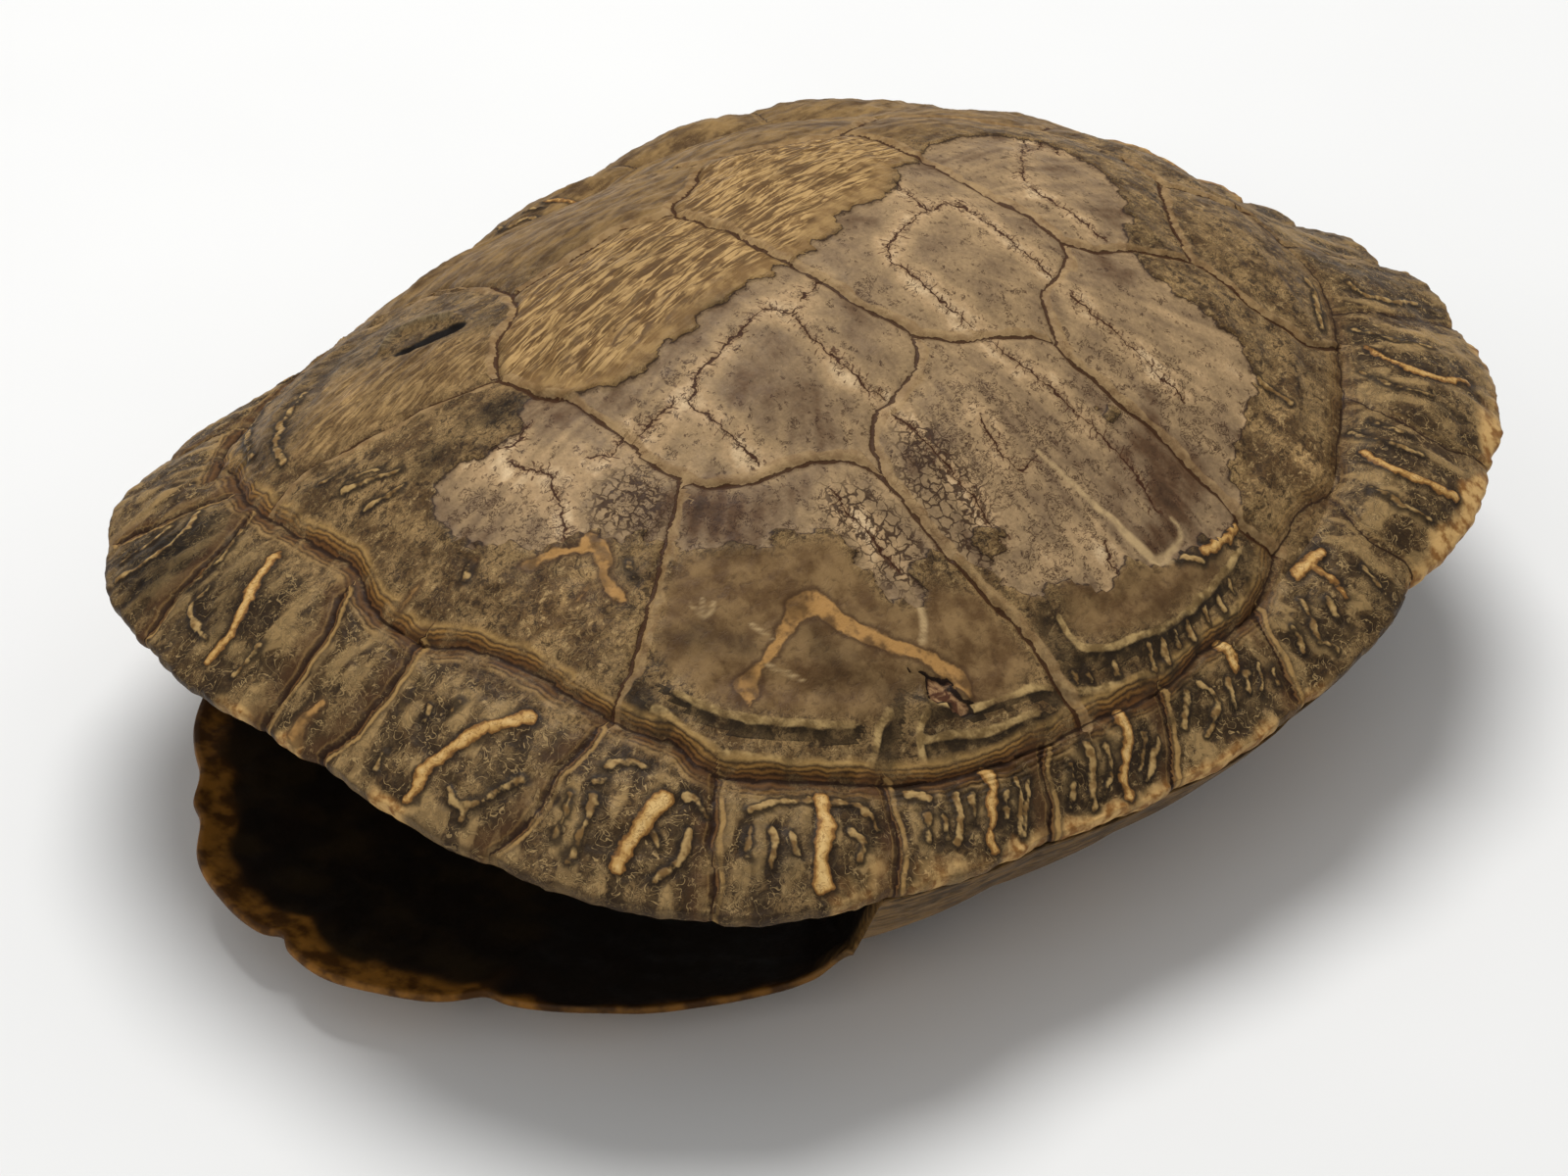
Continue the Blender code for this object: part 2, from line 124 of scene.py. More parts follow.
PLASTRON_SEAMS = [
    [(0, -112), (18, -117), (36, -124)],
    [(0, -84), (30, -88), (61, -99)],
    [(0, -48), (40, -50), (84, -50)],
    [(0, 8), (40, 8), (88, 10)],
    [(0, 56), (30, 52), (59, 60)],
    [(0, 86), (26, 92), (48, 99)],
]
PLASTRON_MIDLINE = [(0, -136), (0.8, -60), (-0.6, 20), (0, 106)]


def angle_of(x, y):
    """Angle of a point in plan round the shell's middle: 0 at the head, above 0 on the left."""
    return atan2(x, -(y - CENTRE_Y))


def smooth_table(angles, values):
    """Cubic through the values, level at the head and at the tail."""
    angles = np.asarray(angles, float)
    values = np.asarray(values, float)
    slopes = np.zeros_like(values)
    slopes[1:-1] = (values[2:] - values[:-2]) / (angles[2:] - angles[:-2])

    def at(theta):
        theta = np.clip(np.abs(theta), angles[0], angles[-1])
        i = np.clip(np.searchsorted(angles, theta) - 1, 0, len(angles) - 2)
        width = angles[i + 1] - angles[i]
        t = (theta - angles[i]) / width
        rise = values[i] * (1 + 2 * t) * (1 - t) ** 2 + values[i + 1] * t * t * (3 - 2 * t)
        lean = slopes[i] * t * (1 - t) ** 2 - slopes[i + 1] * t * t * (1 - t)
        return rise + lean * width
    return at


def by_landmarks(points):
    """Reach from the middle and height at each angle, through points of the left side."""
    angles = [angle_of(x, y) for x, y, z in points]
    reach = smooth_table(angles, [hypot(x, y - CENTRE_Y) for x, y, z in points])
    height = smooth_table(angles, [z for x, y, z in points])
    return reach, height


def by_degrees(table):
    """Smooth values at each angle, from pairs of degrees from the head and a value."""
    return smooth_table(np.radians([a for a, v in table]), [v for a, v in table])


rim_reach, rim_height = by_landmarks(RIM_POINTS)
inner_reach, inner_height = by_landmarks(INNER_POINTS)
fullness = by_degrees(FULLNESS)
sag = by_degrees(SAG)
serration = by_degrees(SERRATION)
RIM_ANGLES = np.array([angle_of(x, y) for x, y, z in RIM_POINTS])
INNER_ANGLES = np.array([angle_of(x, y) for x, y, z in INNER_POINTS])


def tooth(theta):
    """Swell of one marginal's rim, out in its middle and in at its seams."""
    theta = np.abs(theta)
    i = np.clip(np.searchsorted(RIM_ANGLES, theta) - 1, 0, len(RIM_ANGLES) - 2)
    share = (theta - RIM_ANGLES[i]) / (RIM_ANGLES[i + 1] - RIM_ANGLES[i])
    return np.where(i > 0, serration(theta) * (0.5 - np.abs(2 * share - 1) ** 3), 0.0)


def dome_point(theta, u):
    """Point of the smooth outer surface: u is 0 on top, 1 at the marginals, 2 on the rim."""
    seam = inner_reach(theta)
    seam_z = inner_height(theta)
    power = fullness(theta)
    level = np.clip(u, 0, 1)
    out = np.clip(u - 1, 0, 1)
    top = BLUNT_TOP ** power
    drop = (level ** 2 + BLUNT_TOP ** 2) ** (power / 2) - top
    drop /= (1 + BLUNT_TOP ** 2) ** (power / 2) - top
    reach = seam * level + (rim_reach(theta) + tooth(theta) - seam) * out
    z = np.where(u > 1,
                 seam_z + (rim_height(theta) - seam_z) * out - 4 * sag(theta) * out * (1 - out),
                 seam_z + (DOME_TOP - seam_z) * (1 - drop))
    return np.stack([reach * np.sin(theta), CENTRE_Y - reach * np.cos(theta), z], axis=-1)


def dome_normal(theta, u):
    """Outward normal of the smooth outer surface."""
    step = 0.01
    radial = dome_point(theta, np.minimum(u + step, 2.0)) - dome_point(theta, u - step)
    around = dome_point(theta + step, u) - dome_point(theta - step, u)
    normal = np.cross(radial, around)
    return normal / np.linalg.norm(normal, axis=-1, keepdims=True)


def radial_way(theta):
    """Direction straight outward from the shell's middle."""
    return np.stack([np.sin(theta), -np.cos(theta), np.zeros_like(theta)], axis=-1)


def rim_lip(theta):
    """Lower edge of the rim's outer face."""
    return dome_point(theta, np.full_like(theta, 2.0)) - RIM_LIP * radial_way(theta) \
        - np.array([0, 0, RIM_EDGE])


def rim_underside(theta):
    """Inner edge of the rim's underside."""
    return rim_lip(theta) - RIM_UNDERSIDE * radial_way(theta)


def level_of(x, y):
    """Angle and level on the dome of points in plan."""
    theta = np.arctan2(x, CENTRE_Y - y)
    reach = np.hypot(x, y - CENTRE_Y)
    seam = inner_reach(theta)
    band = rim_reach(theta) + tooth(theta) - seam
    return theta, np.where(reach < seam, reach / seam, 1 + (reach - seam) / band)


# Heights between which a ray is searched for the surface, and how finely.
SEARCH_HEIGHTS = DOME_TOP + 5, 20
SEARCH_STEPS, SEARCH_HALVINGS = 160, 30


def on_shell(pixels):
    """Points of the shell's outer surface that the photo shows at these pixels."""
    ways = rays(pixels)
    low, high = [(z - EYE[2]) / ways[:, 2] for z in SEARCH_HEIGHTS]

    def above(t):
        x, y, z = (EYE + t[:, None] * ways).T
        theta, u = level_of(x, y)
        return np.where(u > 2, 1.0, z - dome_point(theta, np.minimum(u, 2.0))[:, 2])

    steps = np.linspace(0, 1, SEARCH_STEPS)
    tries = np.array([above(low + (high - low) * s) for s in steps])
    first = np.argmax(tries <= 0, axis=0)
    found = tries[first, np.arange(len(ways))] <= 0
    if not found.all():
        raise ValueError(f"off the shell: {np.asarray(pixels)[~found].tolist()}")
    near = low + (high - low) * steps[np.maximum(first - 1, 0)]
    far = low + (high - low) * steps[first]
    for _ in range(SEARCH_HALVINGS):
        middle = (near + far) / 2
        outside = above(middle) > 0
        near = np.where(outside, middle, near)
        far = np.where(outside, far, middle)
    return EYE + near[:, None] * ways


# ---------------------------------------------------------------- lines on the shell
CURVE_PARTS = 12          # pieces of a smooth curve between two given points


def smooth_line(points, step):
    """Evenly spaced points on a smooth curve through the given ones."""
    points = np.asarray(points, float)
    padded = np.vstack([2 * points[0] - points[1], points, 2 * points[-1] - points[-2]])
    fine = []
    for a, b, c, d in zip(padded[:-3], padded[1:-2], padded[2:-1], padded[3:]):
        for t in np.linspace(0, 1, CURVE_PARTS, endpoint=False):
            fine.append(0.5 * (2 * b + (c - a) * t + (2 * a - 5 * b + 4 * c - d) * t * t
                               + (3 * b - a - 3 * c + d) * t ** 3))
    fine = np.array(fine + [points[-1]])
    run = np.concatenate([[0], np.cumsum(np.linalg.norm(np.diff(fine, axis=0), axis=1))])
    stops = np.linspace(0, run[-1], max(2, ceil(run[-1] / step) + 1))
    return np.stack([np.interp(stops, run, column) for column in fine.T], axis=-1)


def on_dome(plan):
    """Points of the outer surface above points in plan."""
    theta, u = level_of(plan[:, 0], plan[:, 1])
    return dome_point(theta, np.minimum(u, 2.0))


def mirrored(lines):
    """The same lines on the shell's other side."""
    return [line * np.array([-1, 1, 1]) for line in lines]


def nearest_side(points, lines, reach, widths=None):
    """Distance from each point to the nearest line, less the line's half width there, the side of
    the line that the point is on (1 to the left of its run, seen from outside, or -1) and how far
    along the line it is.

    A line's width runs evenly from its first value to its last.
    """
    best = np.full(len(points), float(reach))
    side = np.ones(len(points))
    run = np.zeros(len(points))
    for number, line in enumerate(lines):
        passed = 0.0
        wide = np.zeros(len(line))
        if widths is not None:
            wide = np.linspace(*widths[number], len(line)) / 2
        margin = reach + wide.max()
        near = ((points > line.min(0) - margin) & (points < line.max(0) + margin)).all(axis=1)
        index = np.nonzero(near)[0]
        some = points[index]
        outward = some - SHELL_MIDDLE
        closest = best[index]
        left = side[index]
        along = run[index]
        for a, b, wa, wb in zip(line[:-1], line[1:], wide[:-1], wide[1:]):
            leg = b - a
            length = max(np.linalg.norm(leg), 1e-6)
            t = np.clip((some - a) @ leg / length ** 2, 0, 1)
            gap = some - a - t[:, None] * leg
            distance = np.sqrt(np.einsum("ij,ij->i", gap, gap)) - (wa + (wb - wa) * t)
            closer = distance < closest
            closest[closer] = distance[closer]
            left[closer] = np.sign(np.cross(leg, gap[closer]) * outward[closer]
                                   @ np.ones(3) + 1e-12)
            along[closer] = passed + t[closer] * length
            passed += length
        best[index] = closest
        side[index] = left
        run[index] = along
    return best, side, run


def nearest(points, lines, reach, widths=None):
    """Only the distance of nearest_side."""
    return nearest_side(points, lines, reach, widths)[0]


def inside(points, outline):
    """Which points lie within a closed outline, in plan."""
    count = np.zeros(len(points), int)
    for a, b in zip(outline, np.roll(outline, -1, axis=0)):
        spans = (a[1] > points[:, 1]) != (b[1] > points[:, 1])
        slope = (b[0] - a[0]) / (b[1] - a[1]) if a[1] != b[1] else 0.0
        count += spans & (points[:, 0] < a[0] + slope * (points[:, 1] - a[1]))
    return count % 2 == 1


def step_up(value, low, high):
    """Smooth step from 0 at low to 1 at high."""
    t = np.clip((value - low) / (high - low), 0, 1)
    return t * t * (3 - 2 * t)


LATTICE_SEED, LATTICE_SIZE = 11, 48
LATTICE = np.random.RandomState(LATTICE_SEED).uniform(-1, 1, (LATTICE_SIZE,) * 3)


def noise(points, size, layers=1, shift=0.0):
    """Smooth noise between about -1 and 1 with features of the given size."""
    total = np.zeros(len(points))
    weight = 1.0
    points = np.asarray(points, float) / np.asarray(size, float) + shift
    for _ in range(layers):
        cell = np.floor(points).astype(int)
        t = points - cell
        t = t * t * t * (t * (t * 6 - 15) + 10)
        value = 0.0
        for offset in np.ndindex(2, 2, 2):
            share = np.where(offset, t, 1 - t).prod(axis=1)
            value = value + share * LATTICE[tuple(((cell + offset) % LATTICE_SIZE).T)]
        total += weight * value
        weight *= 0.5
        points = points * 2.03 + 7.7
    return total * 1.3


# ---------------------------------------------------------------- marks seen in the photo, pixels
BONE_PATCH = [
    (538, 398), (560, 403), (582, 404), (601, 396), (617, 397), (633, 393), (653, 385), (665, 369),
    (677, 353), (690, 350), (702, 345), (708, 329), (728, 313), (752, 298), (765, 288), (775, 292),
    (795, 274), (809, 266), (820, 261), (831, 258), (839, 246), (854, 234), (852, 223), (874, 211),
    (902, 203), (920, 187), (914, 175), (934, 167), (945, 150), (1005, 141), (1047, 145),
    (1081, 154), (1119, 175), (1144, 200), (1152, 229), (1145, 250), (1165, 268), (1180, 285),
    (1203, 305), (1232, 326), (1258, 347), (1274, 372), (1281, 398), (1270, 431), (1258, 457),
    (1253, 478), (1266, 499), (1262, 520), (1250, 540), (1222, 552), (1200, 569), (1175, 580),
    (1150, 574), (1138, 597), (1102, 597), (1075, 590), (1050, 608), (1030, 600), (984, 572),
    (975, 568), (943, 565), (931, 569), (933, 585), (943, 600), (939, 620), (911, 617), (898, 608),
    (892, 588), (872, 572), (863, 557), (850, 545), (834, 545), (793, 544), (783, 547), (780, 557),
    (764, 560), (742, 557), (732, 563), (710, 558), (703, 552), (697, 557), (683, 550), (668, 556),
    (655, 548), (630, 552), (600, 546), (585, 556), (560, 556), (545, 565), (520, 556), (495, 562),
    (478, 555), (462, 545), (450, 530), (443, 510), (448, 495), (462, 482), (485, 471), (508, 461),
    (524, 449), (531, 432), (533, 414),
]
FLAKES = [[(1000, 535), (1022, 538), (1023, 552), (1016, 571), (1004, 566), (996, 550)],
          [(1128, 405), (1140, 415), (1136, 432), (1124, 424)]]

# Sutures and cracks of the bare bone.
CRACKS = [
    [(750, 345), (735, 362), (715, 380), (703, 410), (720, 425), (740, 440), (775, 470)],
    [(688, 408), (665, 432), (648, 448)],
    [(775, 315), (805, 320), (825, 340), (850, 362), (875, 385), (903, 405)],
    [(775, 315), (762, 330), (750, 345)],
    [(805, 320), (818, 305), (838, 285)],
    [(905, 250), (925, 232), (945, 215), (975, 212), (1005, 222)],
    [(905, 250), (912, 268), (935, 282), (960, 305), (990, 330)],
    [(978, 208), (1005, 228), (1040, 252), (1075, 280)],
    [(945, 215), (925, 200), (915, 190)],
    [(565, 490), (569, 511), (574, 523), (578, 552)],
    [(521, 474), (540, 480), (558, 484), (566, 490)],
    [(480, 469), (511, 460), (527, 451), (540, 430)],
    [(602, 468), (619, 462), (631, 451), (640, 440)],
    [(1010, 345), (1035, 365), (1060, 385), (1095, 418), (1130, 450), (1155, 478), (1180, 520)],
    [(915, 420), (940, 446), (960, 470), (985, 500), (1010, 530), (1022, 552)],
    [(1095, 300), (1122, 325), (1150, 350), (1180, 380), (1205, 405)],
    [(1045, 145), (1045, 185), (1085, 212), (1130, 245)],
    [(1045, 160), (1068, 148), (1081, 158)],
    [(850, 500), (860, 520), (885, 540), (900, 565), (915, 580)],
    [(1128, 553), (1134, 575), (1140, 594)],
    [(1000, 430), (1020, 462), (1040, 480), (1056, 466)],
]

# Seams between the scutes that the photo shows, with the pale band on the left of their run. The
# hidden ones follow the CAD's lines.
SEAMS_SEEN = [
    # first and second vertebral, and the costals of the left side
    [(693, 488), (688, 520), (678, 560), (665, 610), (650, 655), (635, 700), (624, 735)],
    [(508, 385), (545, 402), (580, 408), (600, 420), (635, 445), (665, 472), (693, 488)],
    [(693, 490), (720, 496), (760, 493), (800, 480), (830, 468), (865, 468), (899, 486)],
    [(928, 335), (936, 355), (933, 375), (915, 400), (897, 420), (893, 450), (900, 487)],
    [(690, 218), (735, 232), (780, 255), (812, 270), (840, 287), (880, 312), (928, 335)],
    [(900, 487), (930, 520), (965, 560), (1000, 600), (1040, 640), (1065, 675), (1080, 700),
     (1104, 740)],
    [(930, 338), (940, 344), (985, 347), (1015, 343), (1050, 342), (1079, 350)],
    [(1086, 245), (1090, 262), (1080, 278), (1067, 295), (1070, 320), (1079, 350)],
    [(865, 136), (893, 141), (939, 161), (1000, 192), (1060, 225), (1086, 245)],
    [(1079, 350), (1133, 400), (1163, 425), (1194, 453), (1224, 484), (1255, 517), (1270, 540),
     (1303, 567)],
    [(1087, 245), (1120, 252), (1147, 252), (1180, 260), (1216, 265)],
    [(1182, 186), (1188, 209), (1201, 237), (1216, 265)],
    [(1216, 265), (1252, 290), (1272, 308), (1293, 323), (1313, 336), (1344, 352), (1367, 354)],
    [(1150, 163), (1168, 175), (1184, 187)],
    # the right side
    [(506, 384), (430, 418), (375, 445), (316, 478), (278, 515)],
    [(508, 385), (505, 362), (508, 345), (525, 320), (522, 300)],
    [(522, 300), (490, 291), (445, 298), (410, 318), (380, 335)],
    [(524, 300), (560, 275), (602, 250), (640, 232), (690, 216)],
    [(690, 216), (688, 205), (705, 190), (712, 175)],
    [(692, 169), (710, 166), (763, 154), (820, 143), (865, 136)],
]
MARGIN_SEEN = [(232, 478), (250, 508), (275, 527), (320, 554), (352, 568), (370, 600), (390, 630),
               (430, 655), (480, 660), (530, 680), (575, 705), (620, 735), (680, 755), (735, 790),
               (800, 797), (850, 799), (905, 800), (960, 795), (1010, 785), (1067, 762),
               (1104, 740), (1140, 725), (1184, 703), (1230, 665), (1283, 622), (1303, 566),
               (1329, 522), (1359, 500), (1364, 460), (1372, 405), (1367, 354), (1360, 320),
               (1345, 285), (1310, 247), (1262, 210)]
# Seams between the marginals, from the costals out to the rim.
MARGINALS_SEEN = [
    [(230, 505), (175, 528), (122, 553)], [(251, 528), (232, 554), (200, 586), (168, 621),
                                           (152, 645)],
    [(352, 606), (320, 665), (268, 738)], [(428, 657), (405, 690), (370, 735), (327, 774)],
    [(608, 748), (570, 790), (540, 835), (502, 870)], [(733, 795), (730, 850), (725, 930)],
    [(903, 800), (915, 850), (914, 905)], [(1067, 764), (1066, 789), (1072, 823), (1074, 853)],
    [(1187, 708), (1193, 743), (1197, 766), (1197, 800)],
    [(1284, 620), (1287, 635), (1301, 664), (1311, 691), (1324, 716)],
    [(1362, 512), (1386, 541), (1413, 562), (1434, 577), (1441, 594)],
    [(1373, 405), (1423, 425), (1470, 452), (1500, 465), (1514, 475)],
    [(1362, 320), (1410, 320), (1445, 326), (1480, 332)],
]

# Yellow marks: widths in millimetres at the start and the end, and the line.
BARS = [
    # marginals, from the right side round the front to the left
    (2.3, 1.4, [(280, 570), (261, 599), (251, 624), (232, 656), (213, 678)]),
    (2.2, 1.6, [(541, 732), (519, 739), (490, 748), (459, 768), (436, 787), (426, 808),
                (418, 818)]),
    (3.3, 2.0, [(677, 818), (662, 832), (651, 849), (639, 866), (630, 886)]),
    (2.2, 3.0, [(838, 815), (840, 832), (840, 850), (837, 880), (838, 905)]),
    (2.4, 1.4, [(1009, 789), (1014, 803), (1010, 823), (1008, 849), (1012, 870)]),
    (2.4, 1.4, [(1145, 731), (1150, 750), (1146, 770), (1143, 796), (1152, 814)]),
    (2.8, 2.2, [(1248, 657), (1253, 664), (1258, 678)]),
    (2.2, 1.9, [(1323, 587), (1334, 577), (1347, 565)]),
    (1.4, 0.8, [(1335, 577), (1347, 585), (1359, 596), (1370, 612)]),
    (1.4, 1.9, [(1392, 464), (1410, 476), (1440, 490), (1480, 508)]),
    (1.1, 1.5, [(1395, 357), (1415, 370), (1440, 382), (1470, 390), (1495, 394)]),
    (1.8, 1.6, [(1224, 566), (1240, 558), (1253, 548), (1262, 536)]),
]
# Duller marks beside them, tan to olive, with the same dark borders.
DULL_BARS = [
    (1.1, 0.9, [(213, 655), (197, 634), (198, 618), (208, 608), (214, 600)]),
    (1.4, 1.1, [(203, 525), (188, 548), (165, 567), (143, 583), (124, 594)]),
    (0.8, 0.8, [(176, 536), (158, 552), (140, 562), (124, 577)]),
    (0.8, 0.7, [(246, 540), (228, 566), (196, 600)]),
    (0.9, 0.8, [(268, 660), (256, 676), (240, 690)]),
    (1.2, 1.0, [(460, 806), (464, 820), (476, 824), (492, 819), (504, 809), (520, 803),
                (532, 795)]),
    (0.9, 0.8, [(476, 824), (470, 836)]), (0.8, 0.7, [(392, 770), (386, 786)]),
    (0.8, 0.7, [(440, 722), (432, 736)]), (0.7, 0.7, [(470, 716), (462, 728)]),
    (1.4, 1.2, [(605, 815), (602, 832), (590, 858), (580, 878)]),
    (0.8, 0.7, [(583, 812), (578, 832), (566, 856)]),
    (1.4, 1.1, [(703, 850), (698, 870), (684, 888), (668, 897)]),
    (1.2, 1.0, [(620, 782), (640, 778), (660, 784)]), (0.9, 0.8, [(608, 798), (618, 795)]),
    (1.6, 0.9, [(700, 812), (712, 816), (722, 830)]), (0.8, 0.7, [(664, 850), (672, 866)]),
    (1.5, 1.3, [(768, 826), (783, 822), (800, 818), (820, 817), (838, 817)]),
    (1.4, 1.2, [(838, 817), (866, 820), (885, 830), (893, 846)]),
    (1.3, 1.1, [(786, 846), (790, 862), (786, 884)]), (0.9, 0.8, [(806, 850), (812, 872)]),
    (0.9, 0.8, [(764, 846), (762, 874)]), (1.0, 0.9, [(868, 850), (880, 862), (876, 880)]),
    (1.5, 1.2, [(923, 808), (936, 811), (948, 814)]), (1.3, 1.0, [(944, 832), (946, 859)]),
    (0.8, 0.7, [(960, 834), (963, 857)]), (1.4, 1.2, [(976, 811), (979, 838), (974, 862)]),
    (0.8, 0.7, [(992, 812), (991, 840)]), (1.2, 1.0, [(1037, 795), (1041, 822), (1039, 850)]),
    (0.9, 0.8, [(1050, 796), (1049, 822), (1044, 852)]), (0.9, 0.8, [(1026, 806), (1025, 834)]),
    (1.5, 1.2, [(1107, 759), (1114, 778), (1112, 800), (1115, 824)]),
    (1.0, 0.8, [(1128, 760), (1130, 786), (1128, 812)]),
    (0.8, 0.7, [(1092, 780), (1095, 806), (1093, 826)]),
    (1.0, 0.8, [(1167, 748), (1166, 768), (1162, 786)]),
    (1.1, 0.9, [(1181, 756), (1176, 776), (1171, 795)]),
    (1.0, 0.9, [(1212, 706), (1209, 724), (1208, 742)]),
    (1.3, 1.0, [(1224, 698), (1234, 706), (1239, 722), (1231, 748)]),
    (1.2, 1.0, [(1253, 693), (1258, 720)]), (1.0, 0.9, [(1270, 684), (1274, 706)]),
    (1.0, 1.0, [(1284, 680), (1286, 705)]), (0.8, 0.7, [(1298, 684), (1303, 700)]),
    (1.2, 1.0, [(1328, 614), (1338, 634), (1345, 656), (1362, 664)]),
    (0.9, 0.8, [(1318, 640), (1330, 664)]), (0.9, 0.8, [(1352, 612), (1364, 634)]),
    (1.0, 1.0, [(1391, 582), (1398, 590), (1405, 599)]),
    (0.9, 0.8, [(1378, 440), (1410, 452), (1450, 466)]), (0.8, 0.8, [(1400, 428), (1440, 446)]),
    (0.9, 0.8, [(1398, 500), (1430, 518), (1458, 534)]),
    (0.8, 0.7, [(1388, 380), (1420, 396), (1460, 408)]),
    (0.8, 0.7, [(1380, 336), (1416, 348), (1462, 360)]),
    (1.1, 1.3, [(1372, 290), (1385, 300), (1400, 305), (1425, 308), (1445, 309)]),
    (1.7, 1.2, [(1333, 288), (1340, 300), (1344, 318), (1348, 334)]),
    # dashes between the second costal's ridges
    (1.0, 0.8, [(1096, 686), (1098, 696)]), (1.0, 0.8, [(1110, 681), (1112, 694)]),
    (1.0, 0.8, [(1134, 676), (1138, 690)]), (1.2, 1.0, [(1170, 660), (1178, 683)]),
    (1.2, 1.0, [(1184, 655), (1191, 679)]), (1.1, 0.9, [(1197, 646), (1203, 662)]),
    (1.2, 0.9, [(1209, 636), (1218, 653)]), (1.1, 0.9, [(1227, 621), (1235, 636)]),
    (1.0, 0.8, [(1240, 608), (1248, 624)]), (1.0, 0.8, [(1252, 592), (1258, 606)]),
    (1.4, 1.2, [(1199, 571), (1210, 572), (1222, 576)]),
    (1.2, 1.2, [(1282, 387), (1298, 402), (1311, 414)]),
    # wrinkles of the first vertebral's and the right first costal's outer horn
    (1.1, 0.7, [(352, 506), (380, 494), (412, 482)]), (0.9, 0.6, [(362, 490), (392, 481)]),
    (1.2, 0.8, [(374, 522), (396, 508), (414, 498)]), (0.8, 0.6, [(330, 496), (352, 484)]),
    (1.3, 1.0, [(290, 478), (286, 456), (294, 432), (314, 406)]),
    (1.1, 0.9, [(258, 470), (254, 448), (266, 422), (288, 400)]),
    (0.9, 0.7, [(640, 576), (646, 590)]), (0.9, 0.7, [(480, 578), (474, 594)]),
]
BARS_MIRRORED = 64, 112   # degrees from the head between which the photo hides the right side
# Duller marks under the worn horn of the costals and the first vertebral.
FAINT = [
    (1.2, 2.4, [(331, 717), (318, 727), (308, 738), (301, 752)]),
    (0.6, 4.2, [(764, 723), (763, 713), (763, 703)]),
    (4.2, 1.0, [(763, 703), (769, 691), (777, 681)]),
    (1.0, 3.4, [(777, 681), (787, 667), (797, 650), (806, 634), (815, 622)]),
    (5.0, 4.0, [(816, 621), (829, 617), (843, 625)]),
    (4.0, 2.0, [(843, 625), (858, 638), (880, 649), (905, 660), (930, 669), (948, 675)]),
    (2.0, 3.6, [(948, 675), (962, 683), (974, 693)]), (3.6, 0.8, [(974, 693), (981, 702),
                                                                 (987, 713)]),
    (3.2, 2.8, [(600, 556), (614, 561), (616, 575)]), (2.4, 1.4, [(616, 575), (622, 597),
                                                                (634, 613)]),
    (1.8, 1.3, [(608, 562), (590, 563), (574, 566), (556, 574), (535, 580)]),
    (0.8, 0.6, [(602, 600), (597, 610), (590, 619)]),
    (0.9, 0.6, [(484, 575), (476, 588), (470, 597)]),
    (0.7, 0.6, [(430, 595), (418, 610), (405, 625)]),
]
# Growth ridges: height and width in millimetres, and the line.
RIDGES = [
    (0.7, 1.5, [(690, 708), (712, 718), (739, 729), (764, 735), (802, 739), (840, 742),
                (868, 742)]),
    (0.6, 1.5, [(1078, 632), (1090, 652), (1107, 664), (1143, 657), (1179, 645), (1209, 626),
                (1237, 599), (1262, 564)]),
    (0.5, 1.3, [(1084, 696), (1102, 706), (1128, 704), (1158, 693), (1184, 685), (1219, 655),
                (1242, 635), (1267, 610)]),
    (0.5, 1.4, [(667, 722), (700, 744), (740, 768), (783, 776), (831, 780), (866, 781)]),
    (0.5, 1.2, [(938, 756), (970, 752), (1010, 744), (1056, 730)]),
    (0.4, 1.2, [(948, 716), (980, 724), (1016, 716), (1070, 700)]),
    # both sides of the fold in the first costal's lower edge
    (0.4, 1.0, [(886, 782), (893, 765), (898, 748), (906, 728)]),
    (0.5, 1.1, [(941, 774), (936, 756), (937, 738), (944, 728)]),
]
# Bare pale scars: the long one across the second costal, and thinner ones.
SCARS = [
    (0.5, 1.7, [(1057, 461), (1077, 479), (1102, 502), (1120, 520), (1133, 530), (1153, 551)]),
    (1.7, 2.2, [(1153, 551), (1166, 563), (1179, 571), (1189, 571)]),
    (0.9, 0.4, [(1189, 571), (1202, 553), (1204, 538), (1194, 528)]),
    (0.6, 0.4, [(766, 640), (776, 646), (787, 655)]), (0.5, 0.4, [(782, 679), (800, 688),
                                                                 (818, 696)]),
    (0.4, 0.3, [(704, 617), (708, 624), (714, 630)]), (0.4, 0.5, [(717, 613), (717, 631)]),
    (0.4, 0.3, [(729, 617), (725, 626), (718, 631)]),
    (1.1, 0.8, [(938, 624), (941, 638), (939, 658)]),
]

# Horn wrinkled gold, on the right of the back.
GOLD = [
    [(513, 345), (530, 300), (602, 252), (690, 218), (735, 232), (780, 255), (812, 268),
     (775, 292), (728, 313), (702, 345), (665, 369), (633, 393), (582, 404), (538, 397),
     (512, 375)],
    [(692, 216), (712, 175), (763, 155), (863, 137), (934, 160), (914, 175), (902, 203),
     (854, 234), (831, 258), (811, 266), (780, 253), (735, 230)],
]
# The same in part, on the right side's first costal.
HALF_GOLD = [(503, 380), (506, 350), (500, 340), (440, 356), (392, 372), (340, 396), (310, 430),
             (300, 470), (316, 470), (430, 414)]
# Bare bone broken into small dark cells.
CRACKLE = [
    [(840, 490), (885, 490), (930, 530), (962, 575), (940, 610), (905, 605), (870, 560),
     (835, 530)],
    [(912, 425), (950, 425), (1000, 490), (1030, 560), (1010, 595), (960, 550), (915, 490)],
    [(600, 505), (640, 470), (685, 492), (680, 545), (640, 548), (600, 540)],
]
